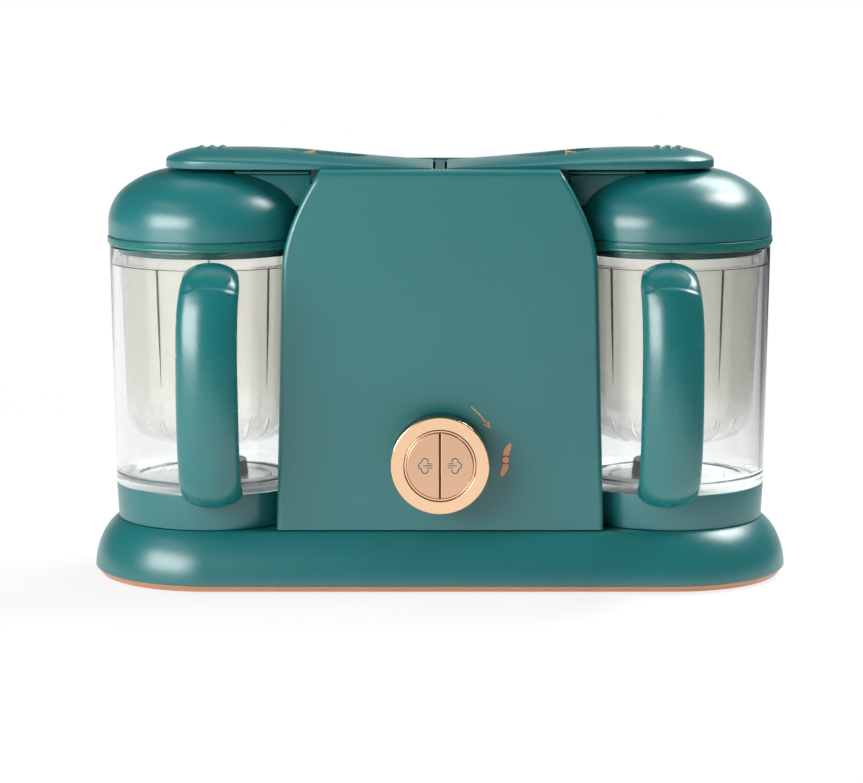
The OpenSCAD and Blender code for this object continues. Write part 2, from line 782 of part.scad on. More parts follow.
scoop_x = 74.7;
marker_z = arm_z + arm_rise - 2.4;

module arm() {
    difference() {
        loft([for (s = arm_stops) arm_ring(s, 0)]);
        loft([for (s = pocket_stops) arm_ring(s, arm_skin)]);
        translate([-scoop_x - 5, -7, marker_z]) cube([10, 14, 20]);
    }
    for (u = bump_shares) translate([u*arm_l - arm_l, 0, arm_z + crest_at(u*arm_l) + bump_rise - bump_r])
        rotate([90, 0, 0]) cylinder(h = bump_l, r = bump_r, center = true);
}

module arm_marker() {
    translate([-scoop_x, 0, marker_z]) linear_extrude(height = 2)
        polygon([[4, -5], [4, 5], [-4, 0]]);
}

leaf_t = 2.2;
plate_under_t = 1.2;
plate_margin = 10;
spine_w = 22;
post_r = 12;

module arm_underplate() {
    plate_l = 72;
    plate_w = arm_w - 21.2;
    plate_x = arm_l - plate_margin;
    leaf_x = trough_x - 1;
    difference() {
        union() {
            translate([-plate_x, -plate_w/2, arm_z]) cube([plate_l, plate_w, plate_under_t]);
            translate([plate_l - plate_x - 1, -spine_w/2, arm_z])
                cube([plate_x - plate_l + 1 - leaf_x + 1.5, spine_w, plate_under_t]);
            translate([-leaf_x, -spine_w/2, arm_z - 1]) cube([1.5, spine_w, 1 + plate_under_t]);
            translate([-leaf_x, -hinge_y, arm_z - leaf_t]) cube([leaf_x - hinge_x - 5, 2*hinge_y, leaf_t]);
            for (y = [-hinge_y, hinge_y - knuckle_l]) {
                translate([-leaf_x, y, arm_z - leaf_t]) cube([leaf_x - hinge_x, knuckle_l, leaf_t]);
                translate([-hinge_x, y, hinge_z]) rotate([-90, 0, 0]) cylinder(h = knuckle_l, r = knuckle_r);
            }
            translate([-bowl_x, 0, dome_z]) cylinder(h = arm_gap + 0.5, r = post_r);
        }
        translate([-hinge_x, 0, hinge_z]) rotate([90, 0, 0])
            cylinder(h = arm_w + 2, r = pin_d/2 + slip, center = true);
    }
}

module tank_seal() {
    translate([-boiler_x, 0, arm_z - tank_seal_h]) difference() {
        cylinder(h = tank_seal_h, r = neck_r - 2.2);
        translate([0, 0, -1]) cylinder(h = tank_seal_h - 0.2, r = neck_r - 5);
    }
}

// ---- boilers ----
module oblong(w, l, h) {
    rotate([0, 0, 90]) stadium(l - w) square([w/2, h]);
}

module boiler() {
    translate([-boiler_x, 0, 0]) difference() {
        union() {
            translate([0, 0, boiler_z]) oblong(boiler_w, boiler_l, boiler_h);
            translate([0, 0, boiler_top - 1]) cylinder(h = tower_z - 1 - boiler_top + 1, r = neck_r);
        }
        translate([0, 0, boiler_z + boiler_wall])
            oblong(boiler_w - 2*boiler_wall, boiler_l - 2*boiler_wall, boiler_h - 2*boiler_wall);
        translate([0, 0, boiler_top - 2]) cylinder(h = 20, r = neck_r - boiler_wall);
        translate([-boiler_w/2 - 2, 0, port_z]) rotate([0, 90, 0]) cylinder(h = 6, r = 4);
    }
}

module boiler_heaters() {
    color(dark) for (side = [-1, 1]) translate([side*boiler_x, 0, shelf_z + shelf_t])
        oblong(boiler_w - 4, boiler_l - 4, boiler_z - shelf_z - shelf_t);
}

module boiler_shelf() {
    color(steel) intersection() {
        tower_space(wall, tower_y);
        translate([-100, -100, shelf_z]) cube([200, 200, shelf_t]);
    }
}

module steam_ports() {
    color(rubber) for (side = [-1, 1]) translate([side*(boiler_x + boiler_w/2), 0, port_z])
        rotate([0, side*90, 0]) ring(port_r, 4, notch_x + 2.4 - boiler_x - boiler_w/2);
}

// ---- controls ----
cam_r = 23.6;
cam_pin_r = 2;
cam_turn = 40;
cam_rest = -70;
cam_slot_a0 = cam_rest - cam_turn - 8;
cam_slot_a1 = cam_rest + 8;
bezel_h = 3;
ring_z0 = bezel_h + gap;
hub_floor = knob_out - 8;
button_t = 5.7;
button_z0 = hub_floor + button_travel + 0.5;
stem_x = 9;
stem_r = 1.5;
post_x = 28;
post_y = 28;
board_t = 1.6;
board_t0 = -cover_t - 14.6;
switch_h = 3;

module knob_bezel() {
    color(copper) at_knob() ring(knob_d/2 - gap, cam_r + cam_pin_r + gap, bezel_h);
}

module knob_ring() {
    color(copper) at_knob() {
        translate([0, 0, ring_z0]) ring(knob_d/2, knob_bore/2, knob_out - ring_z0);
        rotate([0, 0, cam_rest]) translate([cam_r, 0, -cover_t - 5])
            cylinder(h = ring_z0 + cover_t + 5.5, r = cam_pin_r);
    }
}

module knob_hub() {
    color(copper) at_knob() difference() {
        cylinder(h = knob_out - 0.4, r = knob_bore/2 - 0.2);
        translate([0, 0, hub_floor]) cylinder(h = knob_out, r = button_d/2 + 0.12);
        for (side = [-1, 1]) {
            translate([side*stem_x, 0, -1]) cylinder(h = hub_floor + 2, r = stem_r + 0.08);
            translate([side*stem_x, 0, hub_floor - 4]) cylinder(h = 5, r = 3);
        }
    }
}

module button() {
    at_knob() {
        difference() {
            translate([0, 0, button_z0]) difference() {
                cylinder(h = button_t, r = button_d/2);
                translate([-0.4, -button_d, -1]) cube([2*button_d, 2*button_d, button_t + 2]);
            }
            translate([-stem_x, 0, button_z0 - 1]) cylinder(h = 4, r = 3);
        }
        translate([-stem_x, 0, board_t0 + board_t + switch_h + button_travel + 0.1])
            cylinder(h = button_z0 + 3.5 - board_t0 - board_t - switch_h - button_travel - 0.1, r = stem_r);
    }
}

module button_springs() {
    turns = 4;
    length = button_z0 - button_travel + 2.6 - hub_floor + 4;
    steps = 12*turns;
    color(steel) at_knob() for (side = [-1, 1]) translate([side*stem_x, 0, hub_floor - 4])
        loft([for (i = [0:steps]) let (a = 360*turns*i/steps, z = 0.35 + (length - 0.7)*i/steps)
            [for (j = [0:5]) let (b = 60*j) [(2.3 + 0.34*cos(b))*cos(a), (2.3 + 0.34*cos(b))*sin(a), z - 0.34*sin(b)]]]);
}

module control_board() {
    color("darkgreen") at_knob() translate([-post_x - 5, -post_y - 5, board_t0])
        cube([2*post_x + 10, 2*post_y + 10, board_t]);
}

module steam_switches() {
    color(dark) at_knob() for (side = [-1, 1]) translate([side*stem_x - 3, -3, board_t0 + board_t])
        cube([6, 6, switch_h]);
}

module blend_switch() {
    a = cam_rest - cam_turn - 9;
    color(dark) at_knob() translate([cam_r*cos(a) - 11, cam_r*sin(a) - 5, -cover_t - 8]) cube([10, 8, 8]);
}

base_plate();
base_housing();
rubber_feet();
housing_screws();
tower_body();
front_panel();
rear_cover();
cord_gland();
hinge_block();
hinge_pins();
motor_mount();
motor_can();
motor_shaft();
motor_pulley();
drive_belts();
drive_bearings();
boiler_shelf();
color(steel) boiler();  // boiler_left
color(steel) right_hand() boiler();  // boiler_right
boiler_heaters();
steam_ports();
control_board();
steam_switches();
blend_switch();
knob_bezel();
knob_ring();
knob_hub();
color(copper) button();  // button_left
color(copper) right_hand() button();  // button_right
button_springs();
color(steel) drive_shaft();  // drive_shaft_left
color(steel) right_hand() drive_shaft();  // drive_shaft_right
color(dark) drive_pulley(belt_z1);  // drive_pulley_left
color(dark) right_hand() drive_pulley(belt_z2);  // drive_pulley_right
color(steel) blade();  // blade_left
color(steel) right_hand() blade();  // blade_right
color(dark) blade_hub();  // blade_hub_left
color(dark) right_hand() blade_hub();  // blade_hub_right
color(clear) bowl();  // bowl_left
color(clear) right_hand() bowl();  // bowl_right
color(steel) bowl_bush();  // bowl_bush_left
color(steel) right_hand() bowl_bush();  // bowl_bush_right
color(teal) bowl_skirt();  // bowl_skirt_left
color(teal) right_hand() bowl_skirt();  // bowl_skirt_right
color(teal) handle();  // handle_left
color(teal) right_hand() handle();  // handle_right
color(milk) basket();  // basket_left
color(milk) right_hand() basket();  // basket_right
color(teal) lid();  // lid_left
color(teal) right_hand() lid();  // lid_right
color(rubber) lid_seal();  // lid_seal_left
color(rubber) right_hand() lid_seal();  // lid_seal_right
color(teal) arm();  // arm_left
color(teal) right_hand() arm();  // arm_right
color(teal_dark) arm_underplate();  // arm_underplate_left
color(teal_dark) right_hand() arm_underplate();  // arm_underplate_right
color(copper) arm_marker();  // arm_marker_left
color(copper) right_hand() arm_marker();  // arm_marker_right
color(rubber) tank_seal();  // tank_seal_left
color(rubber) right_hand() tank_seal();  // tank_seal_right
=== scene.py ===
"""Twin-bowl baby food maker: the looks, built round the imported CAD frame.

Metres, +Z up, front towards -Y. Every size comes from the frame's own boxes, or is a named value in
millimetres next to the piece it belongs to. Left-hand pieces are built outwards from the middle and
mirrored, so "out" below is the distance from the middle plane.
"""

import math

import bmesh
import bpy
from mathutils import Matrix, Vector
from mathutils.geometry import tessellate_polygon


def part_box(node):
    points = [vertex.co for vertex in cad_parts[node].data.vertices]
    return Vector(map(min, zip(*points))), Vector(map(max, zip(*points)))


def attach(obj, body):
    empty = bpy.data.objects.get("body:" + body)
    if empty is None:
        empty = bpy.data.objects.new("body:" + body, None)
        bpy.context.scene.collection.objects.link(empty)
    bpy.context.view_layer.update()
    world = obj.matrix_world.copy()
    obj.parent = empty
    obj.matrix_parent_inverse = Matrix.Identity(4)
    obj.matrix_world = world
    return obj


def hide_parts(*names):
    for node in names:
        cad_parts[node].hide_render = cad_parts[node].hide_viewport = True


MM = 0.001
SIDES = (("left", -1), ("right", 1))

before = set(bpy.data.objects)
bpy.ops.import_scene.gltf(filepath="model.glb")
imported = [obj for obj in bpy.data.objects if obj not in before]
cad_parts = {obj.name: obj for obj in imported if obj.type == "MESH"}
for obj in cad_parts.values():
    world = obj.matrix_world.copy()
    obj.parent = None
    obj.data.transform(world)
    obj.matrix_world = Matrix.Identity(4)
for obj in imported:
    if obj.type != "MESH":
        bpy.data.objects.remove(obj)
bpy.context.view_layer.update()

# ---- sizes read from the frame


def box_mm(node):
    """Lowest and highest corner of a CAD node, in millimetres."""
    return tuple(tuple(c / MM for c in corner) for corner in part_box(node))


BOWL_LO, BOWL_HI = box_mm("bowl_right")
BOWL_X = (BOWL_LO[0] + BOWL_HI[0]) / 2
BOWL_R = (BOWL_HI[0] - BOWL_LO[0]) / 2
FLOOR_Z, RIM_Z = BOWL_LO[2], BOWL_HI[2]
SKIRT_LO, SKIRT_HI = box_mm("bowl_skirt_right")
FOOT_R = (SKIRT_HI[0] - SKIRT_LO[0]) / 2
SKIRT_Z, SKIRT_TOP = SKIRT_LO[2], SKIRT_HI[2]
BUSH_LO, BUSH_HI = box_mm("bowl_bush_right")
BUSH_R = (BUSH_HI[0] - BUSH_LO[0]) / 2
WELL_Z = BUSH_HI[2]
LID_LO, LID_HI = box_mm("lid_right")
LID_R = LID_HI[1]
LID_Z, DOME_Z = LID_LO[2], LID_HI[2]
DUCT_X = LID_LO[0]
SEAL_LO, SEAL_HI = box_mm("lid_seal_right")
PLUG_R, PLUG_Z = SEAL_HI[1], SEAL_LO[2]
BASKET_LO, BASKET_HI = box_mm("basket_right")
BASKET_RIM_R = BASKET_HI[1]
BASKET_Z, BASKET_TOP = BASKET_LO[2], BASKET_HI[2]
ARM_LO, ARM_HI = box_mm("arm_right")
ARM_OUT, ARM_W = ARM_HI[0], ARM_HI[1]
ARM_Z, ARM_TOP = ARM_LO[2], ARM_HI[2]
PANEL_LO, PANEL_HI = box_mm("front_panel")
PANEL_Y, PANEL_BACK = PANEL_LO[1], PANEL_HI[1]
DECK_Z, PANEL_Z = PANEL_LO[2], PANEL_HI[2]
PANEL_FOOT = PANEL_HI[0]
BASE_R = box_mm("base_housing")[1][1]
PLATE_LO, PLATE_HI = box_mm("base_plate")
PLATE_Z, PLATE_TOP = PLATE_LO[2], PLATE_HI[2]
PLATE_R = PLATE_HI[1]
RING_LO, RING_HI = box_mm("knob_ring")
HUB_LO, HUB_HI = box_mm("knob_hub")
BUTTON_LO, BUTTON_HI = box_mm("button_right")
KNOB_Z = (HUB_LO[2] + HUB_HI[2]) / 2
KNOB_R = RING_HI[0]
HANDLE_LO, HANDLE_HI = box_mm("handle_left")

# ---- materials


def linear(colour):
    """An sRGB colour of three bytes as linear RGBA."""
    return tuple(
        (c / 255 / 12.92 if c / 255 <= 0.04045 else ((c / 255 + 0.055) / 1.055) ** 2.4) for c in colour
    ) + (1.0,)


def map_range(tree, source, low, high, out_low, out_high, smooth=False):
    """source between low and high, mapped to out_low..out_high and held there beyond them."""
    node = tree.nodes.new("ShaderNodeMapRange")
    if smooth:
        node.interpolation_type = "SMOOTHSTEP"
    for socket, value in (("From Min", low), ("From Max", high), ("To Min", out_low), ("To Max", out_high)):
        node.inputs[socket].default_value = value
    tree.links.new(source, node.inputs["Value"])
    return node.outputs["Result"]


def calculated(tree, operation, values):
    """Several values joined by one operation, such as MAXIMUM or MULTIPLY."""
    total = values[0]
    for value in values[1:]:
        node = tree.nodes.new("ShaderNodeMath")
        node.operation = operation
        tree.links.new(total, node.inputs[0])
        tree.links.new(value, node.inputs[1])
        total = node.outputs[0]
    return total


def mixed(tree, factor, first, second):
    """The first shader where factor is 0 and the second where it is 1."""
    node = tree.nodes.new("ShaderNodeMixShader")
    for i, source in enumerate((factor, first, second)):
        tree.links.new(source, node.inputs[i])
    return node.outputs[0]


def light_path(tree, *kinds):
    """A value that is 1 for the named kinds of ray."""
    path = tree.nodes.new("ShaderNodeLightPath")
    return calculated(tree, "MAXIMUM", [path.outputs[kind] for kind in kinds])


def coordinates(tree, space="Object"):
    """Texture coordinates, whole and split into X, Y and Z."""
    place = tree.nodes.new("ShaderNodeTexCoord").outputs[space]
    split = tree.nodes.new("ShaderNodeSeparateXYZ")
    tree.links.new(place, split.inputs[0])
    return place, split.outputs


class Surface:
    """A Principled material with helpers that wire procedural detail into it."""

    def __init__(self, name, **sockets):
        self.material = bpy.data.materials.new(name)
        self.material.use_nodes = True
        self.tree = self.material.node_tree
        self.nodes = self.tree.nodes
        self.links = self.tree.links
        self.shader = self.nodes["Principled BSDF"]
        for socket, value in sockets.items():
            self.shader.inputs[socket.replace("_", " ")].default_value = value

    def noise(self, scale, detail, stretch=(1, 1, 1)):
        """A noise texture over object coordinates; scale is in features per metre."""
        place = self.nodes.new("ShaderNodeTexCoord")
        mapping = self.nodes.new("ShaderNodeMapping")
        mapping.inputs["Scale"].default_value = stretch
        texture = self.nodes.new("ShaderNodeTexNoise")
        texture.inputs["Scale"].default_value = scale
        texture.inputs["Detail"].default_value = detail
        texture.inputs["Roughness"].default_value = 0.55
        self.links.new(place.outputs["Object"], mapping.inputs["Vector"])
        self.links.new(mapping.outputs["Vector"], texture.inputs["Vector"])
        return texture.outputs["Fac"]

    def colours(self, source, first, second):
        """Blends two sRGB colours by source into the base colour."""
        mix = self.nodes.new("ShaderNodeMix")
        mix.data_type = "RGBA"
        mix.inputs["A"].default_value = linear(first)
        mix.inputs["B"].default_value = linear(second)
        self.links.new(source, mix.inputs["Factor"])
        self.links.new(mix.outputs["Result"], self.shader.inputs["Base Color"])

    def rough(self, source, low, high):
        """Spreads the roughness over low..high by source."""
        self.links.new(map_range(self.tree, source, 0, 1, low, high), self.shader.inputs["Roughness"])

    def bump(self, source, depth, strength=1.0):
        """Raises the surface by source; depth is in metres."""
        node = self.nodes.new("ShaderNodeBump")
        node.inputs["Strength"].default_value = strength
        node.inputs["Distance"].default_value = depth
        self.links.new(source, node.inputs["Height"])
        self.links.new(node.outputs["Normal"], self.shader.inputs["Normal"])

    def blend(self, factor, other):
        """Shows another shader where factor is 1."""
        ends = self.nodes["Material Output"].inputs["Surface"]
        self.links.new(mixed(self.tree, factor, self.shader.outputs[0], other), ends)


def plastic(name, colour, low, high, grain=2600, depth=0.012 * MM, **sockets):
    """A moulded plastic: faint mottling, a fine spark-eroded grain and slightly uneven gloss."""
    surface = Surface(name, **sockets)
    cloud = surface.noise(14, 4)
    shade = tuple(max(0, round(c * 0.965)) for c in colour)
    surface.colours(cloud, shade, tuple(min(255, round(c * 1.03)) for c in colour))
    surface.rough(surface.noise(90, 5), low, high)
    surface.bump(surface.noise(grain, 2), depth)
    return surface


def metal(name, colour, low, high, grain=3200, depth=0.004 * MM, stretch=(1, 1, 1)):
    """A plated or lacquered metal with a fine, slightly uneven polish."""
    surface = Surface(name, Metallic=1.0)
    surface.colours(surface.noise(30, 4), tuple(round(c * 0.975) for c in colour), colour)
    surface.rough(surface.noise(220, 4, stretch=stretch), low, high)
    surface.bump(surface.noise(grain, 3, stretch=stretch), depth)
    return surface


def thin_out(surface, *steps):
    """Lets light straight through, as steps of (height, height, share, share) with heights in metres."""
    height = coordinates(surface.tree)[1]["Z"]
    shares = [map_range(surface.tree, height, *step, smooth=True) for step in steps]
    open_part = surface.nodes.new("ShaderNodeBsdfTransparent")
    surface.blend(calculated(surface.tree, "MAXIMUM", shares), open_part.outputs[0])


teal = plastic("teal_plastic", (20, 109, 111), 0.28, 0.34, Specular_IOR_Level=0.95)
teal_gloss = plastic("teal_handle", (14, 108, 109), 0.24, 0.30, depth=0.006 * MM, Specular_IOR_Level=0.9)
# Painted shade: a darker copy of the teal for parts that sit in shade behind, between and under others.
teal_painted_shade = plastic("dark_teal_plastic", (14, 78, 80), 0.38, 0.48)
# Painted shade: a darker teal laid over the finger scoop, where the hollow falls into shade.
teal_scoop_shade = plastic("painted_scoop_shade", (10, 84, 87), 0.5, 0.6, Specular_IOR_Level=0.3)
teal_band = plastic("teal_band", (14, 104, 99), 0.24, 0.30, depth=0.005 * MM)
teal_lip = plastic("teal_lip", (40, 128, 122), 0.22, 0.30, depth=0.005 * MM)
copper = plastic("copper_coat", (205, 150, 116), 0.34, 0.42, Metallic=0.35)
copper_ink = plastic("copper_ink", (222, 156, 120), 0.34, 0.42, depth=0.004 * MM, Metallic=0.3)
rose = metal("rose_metal", (250, 208, 170), 0.14, 0.19)
# Painted shade: a darker copy of the rose metal for the knob rim's side, which faces across the panel.
rose_painted_shade = metal("rose_painted_shade", (104, 100, 80), 0.2, 0.28)
rose_satin = metal("rose_satin", (244, 198, 164), 0.34, 0.42, grain=2400, depth=0.006 * MM)
grey_ink = plastic("grey_ink", (66, 96, 100), 0.40, 0.50, depth=0.003 * MM)
dark_ink = plastic("dark_ink", (60, 62, 58), 0.40, 0.50, depth=0.003 * MM)
milky = plastic(
    "milky_plastic", (249, 246, 236), 0.10, 0.17, depth=0.006 * MM, Transmission_Weight=0.92, IOR=1.35
)
# Painted shade: the ribs are real, but their grey is darker than the basket's own so that they show as the
# dark lines their edges draw.
rib_painted_shade = plastic(
    "rib_painted_shade", (122, 120, 130), 0.25, 0.35, depth=0.004 * MM, Transmission_Weight=0.3, IOR=1.4
)
pale = plastic("pale_plastic", (222, 226, 224), 0.4, 0.5)
steel = metal("steel", (200, 202, 205), 0.20, 0.30, stretch=(1, 1, 8))
silicone = plastic("silicone", (12, 70, 66), 0.40, 0.50)
rubber = plastic("rubber_feet", (28, 28, 30), 0.60, 0.72, depth=0.02 * MM)
dark_plastic = plastic("dark_plastic", (26, 30, 32), 0.42, 0.52)
board = plastic("circuit_board", (30, 92, 52), 0.35, 0.45)


def clear(name, tint, roughness=0.012):
    """Clear moulded resin: it refracts, and lets light through to what stands behind it."""
    surface = Surface(name, Transmission_Weight=1.0, IOR=1.46, Specular_IOR_Level=0.5)
    surface.colours(surface.noise(8, 2), tint, tuple(min(255, c + 2) for c in tint))
    surface.rough(surface.noise(60, 3), roughness * 0.5, roughness)
    surface.bump(surface.noise(18, 2), 0.02 * MM, 0.4)
    see_through = surface.nodes.new("ShaderNodeBsdfTransparent")
    see_through.inputs["Color"].default_value = linear(tint)
    surface.blend(light_path(surface.tree, "Is Shadow Ray"), see_through.outputs[0])
    return surface


glass = clear("clear_glass", (250, 251, 251))

SLOTS = {
    "teal_plastic": (teal, teal_gloss, teal_band, teal_lip),
    "dark_teal_plastic": (teal_painted_shade, teal_scoop_shade),
    "copper_coat": (copper, copper_ink, grey_ink, dark_ink),
    "rose_metal": (rose, rose_satin, rose_painted_shade),
    "clear_glass": (glass,),
    "milky_plastic": (milky, rib_painted_shade, pale),
    "steel": (steel,),
    "silicone": (silicone, rubber),
    "dark_plastic": (dark_plastic,),
    "circuit_board": (board,),
}
SLOT_OF = {surface.material.name: slot for slot, group in SLOTS.items() for surface in group}

# ---- mesh helpers


def build(name, verts, faces, surface, body, stands_for=(), crease=32, weighted=False):
    """A closed mesh of millimetre points as a shaded object that rides on body."""
    material = surface.material
    mesh = bpy.data.meshes.new(name)
    mesh.from_pydata([Vector(v) * MM for v in verts], [], faces)
    bm = bmesh.new()
    bm.from_mesh(mesh)
    bmesh.ops.remove_doubles(bm, verts=bm.verts, dist=1e-6)
    bmesh.ops.dissolve_degenerate(bm, edges=bm.edges, dist=1e-7)
    bmesh.ops.recalc_face_normals(bm, faces=bm.faces)
    bm.to_mesh(mesh)
    bm.free()
    mesh.shade_smooth()
    mesh.set_sharp_from_angle(angle=math.radians(crease))
    obj = bpy.data.objects.new(name, mesh)
    bpy.context.collection.objects.link(obj)
    mesh.materials.append(material)
    if weighted:
        modifier = obj.modifiers.new("flat faces stay flat", "WEIGHTED_NORMAL")
        modifier.keep_sharp = True
        modifier.weight = 90
    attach(obj, body)
    if stands_for:
        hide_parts(*stands_for)
    return obj


def arc(cx, cy, r, a0, a1, n):
    """n + 1 points of an arc, in degrees."""
    return [
        (
            cx + r * math.cos(math.radians(a0 + (a1 - a0) * i / n)),
            cy + r * math.sin(math.radians(a0 + (a1 - a0) * i / n)),
        )
        for i in range(n + 1)
    ]


def filleted(points, closed=True, steps=5):
    """A polyline of (x, y) or (x, y, radius) points with its corners rounded."""
    out = []
    last = len(points) - 1
    for i, point in enumerate(points):
        radius = point[2] if len(point) > 2 else 0
        p = Vector(point[:2])
        if radius == 0 or (not closed and i in (0, last)):
            out.append(tuple(p))
            continue
        a = Vector(points[i - 1][:2]) - p
        b = Vector(points[(i + 1) % len(points)][:2]) - p
        half = a.angle(b) / 2
        reach = min(radius / math.tan(half), 0.49 * a.length, 0.49 * b.length)
        a.normalize()
        b.normalize()
        centre = p + (a + b).normalized() * (reach / math.cos(half))
        start, end = p + a * reach - centre, p + b * reach - centre
        turn = start.angle_signed(end)
        for k in range(steps + 1):
            spin = Matrix.Rotation(-turn * k / steps, 2)
            out.append(tuple(centre + spin @ start))
    return out


def ring_section(inner, outer, levels, rounds, steps=5):
    """The four-cornered section of a ring: its outer radius and height at each of two levels."""
    corners = ((inner, levels[0]), (outer[0], levels[0]), (outer[1], levels[1]), (inner, levels[1]))
    return filleted([(r, z, rounded) for (r, z), rounded in zip(corners, rounds)], steps=steps)


def sampled(function, start, end, n):
    """n + 1 values of function between start and end."""
    return [function(start + (end - start) * i / n) for i in range(n + 1)]


def skin(rings, closed=False, caps=True):
    """Vertices and faces over rings of equal length."""
    n = len(rings[0])
    verts = [v for ring in rings for v in ring]
    faces = []
    for i in range(len(rings) if closed else len(rings) - 1):
        j = (i + 1) % len(rings)
        for k in range(n):
            m = (k + 1) % n
            faces.append((i * n + k, i * n + m, j * n + m, j * n + k))
    if caps and not closed:
        faces += [tuple(range(n)), tuple(len(verts) - n + k for k in range(n))]
    return verts, faces


def lathe(profile, place, segments=160, loop=False):
    """A profile of (radius, height) turned round its axis. place maps local points to the frame."""
    verts, rows = [], []
    for r, z in profile:
        count = 1 if r < 1e-6 else segments
        rows.append(range(len(verts), len(verts) + count))
        for k in range(count):
            a = 2 * math.pi * k / segments
            verts.append(place(r * math.cos(a), r * math.sin(a), z))
    faces = []
    pairs = list(zip(rows, rows[1:])) + ([(rows[-1], rows[0])] if loop else [])
    for a, b in pairs:
        for k in range(segments):
            m = (k + 1) % segments
            if len(a) == 1 and len(b) == 1:
                continue
            if len(a) == 1:
                faces.append((a[0], b[k], b[m]))
            elif len(b) == 1:
                faces.append((a[k], a[m], b[0]))
            else:
                faces.append((a[k], a[m], b[m], b[k]))
    return verts, faces


def joined(parts):
    """Several (verts, faces) pairs as one."""
    verts, faces = [], []
    for v, f in parts:
        faces += [tuple(i + len(verts) for i in face) for face in f]
        verts += v
    return verts, faces


def at_bowl(side):
    """Local bowl coordinates to the frame: x points outwards."""
    return lambda x, y, z: (side * (BOWL_X + x), y, z)


def at_knob(x, y, z):
    """Local knob coordinates to the frame: z points out of the panel."""
    return (x, PANEL_Y - z, KNOB_Z + y)


def spline(points, t):
    """Catmull-Rom through points of any dimension; t counts points."""
    i = min(len(points) - 2, int(t))
    u = t - i
    a, b, c, d = (Vector(points[max(0, min(len(points) - 1, i + k))]) for k in (-1, 0, 1, 2))
    return 0.5 * (2 * b + (c - a) * u + (2 * a - 5 * b + 4 * c - d) * u**2 + (3 * b - a - 3 * c + d) * u**3)


# ---- base

FLARE_POWER = 1.85
DECK_R = -PANEL_Y
CORE_R = DECK_R - 7
BELT_Z = PLATE_TOP + 0.6
HALF_TURN = 72


def bulge(share, power):
    """The other coordinate of a superellipse quarter at share of its axis."""
    return (1 - share**power) ** (1 / power)


FLARE_H = (DECK_Z - BELT_Z) / bulge((DECK_R - CORE_R) / (BASE_R - CORE_R), FLARE_POWER)


def flare_r(z):
    """Radius of the base's flared side at height z."""
    return CORE_R + (BASE_R - CORE_R) * bulge(max(0, z - BELT_Z) / FLARE_H, FLARE_POWER)


def stadium(profile):
    """A profile of (radius, height) swept round both bowl axes."""
    rings = []
    for r, z in profile:
        ring = []
        for side, start in ((1, -90), (-1, 90)):
            ring += [(x, y, z) for x, y in arc(side * BOWL_X, 0, r, start, start + 180, HALF_TURN)]
        rings.append(ring)
    return skin(rings)


flare = sampled(lambda z: (flare_r(z), z), BELT_Z + 0.2, DECK_Z - 0.5, 40)
heel = [(BASE_R - 1.6, PLATE_TOP + 0.05), (BASE_R - 0.8, PLATE_TOP + 0.1), (BASE_R - 0.25, PLATE_TOP + 0.35)]
deck_edge = [(DECK_R - 0.15, DECK_Z - 0.12), (DECK_R - 0.6, DECK_Z), (DECK_R - 2, DECK_Z)]
base_profile = heel + flare + deck_edge
build("base_shell", *stadium(base_profile), teal, "base", ["base_housing"])
plate_foot = [(PLATE_R - 8, PLATE_Z), (PLATE_R - 2.4, PLATE_Z, 0.8)]
plate_rim = [(PLATE_R, PLATE_TOP, 0.3), (PLATE_R - 6, PLATE_TOP)]
plate_profile = filleted(plate_foot + plate_rim, closed=False)
build("base_plinth", *stadium(plate_profile), copper, "base", ["base_plate"])

# ---- front panel

LEAN = 5.6
CURL = 19.8
CURL_H = 54.0
CURL_POWER = 1.75
PANEL_ROUND = 3.0
PANEL_STEPS = 44


def panel_half(z):
    """Half width of the panel at height z: a leaning side and a shoulder that curls in."""
    curl = CURL * (max(0, z - (PANEL_Z - CURL_H)) / CURL_H) ** CURL_POWER
    return PANEL_FOOT - LEAN * (z - DECK_Z) / (PANEL_Z - DECK_Z) - curl


def panel_outline(inset):
    """Both sides of the panel, moved in by inset."""
    top = PANEL_Z - inset
    foot = DECK_Z + 0.3 + 0.4 * min(inset, 1.2)
    right = sampled(lambda z: (panel_half(z) - inset, z), foot, top, PANEL_STEPS)
    return right + [(-x, z) for x, z in reversed(right)]


def holed_plate(outlines, hole):
    """Rings of (outline, y) from the back edge to the front face, with a round hole through."""
    verts, faces = skin([[(x, y, z) for x, z in outline] for outline, y in outlines], caps=False)
    n, m = len(outlines[0][0]), len(hole)
    starts = (len(verts), len(verts) + m)
    for y in (outlines[0][1], outlines[-1][1]):
        verts += [(x, y, z) for x, z in hole]
    for k in range(m):
        j = (k + 1) % m
        faces.append((starts[0] + k, starts[0] + j, starts[1] + j, starts[1] + k))
    last = len(outlines) - 1
    for outline, base, start in ((outlines[0][0], 0, starts[0]), (outlines[-1][0], last * n, starts[1])):
        flat = [[Vector((x, z, 0)) for x, z in line] for line in (outline, hole)]
        index = [base + k for k in range(n)] + [start + k for k in range(m)]
        faces += [tuple(index[i] for i in triangle) for triangle in tessellate_polygon(flat)]
    return verts, faces


CAM_WINDOW_R = 26.1
window = [(x, KNOB_Z + z) for x, z in arc(0, 0, CAM_WINDOW_R, 0, 360, 72)[:-1]]
panel_rings = [(panel_outline(0), PANEL_BACK)]
for inset, depth in arc(PANEL_ROUND, PANEL_ROUND, PANEL_ROUND, 180, 270, 8):
    panel_rings.append((panel_outline(inset), PANEL_Y + depth))
front = holed_plate(panel_rings, window)
build("panel_front", *front, teal, "base", ["front_panel"], crease=50, weighted=True)

# ---- skirts, bowls and baskets

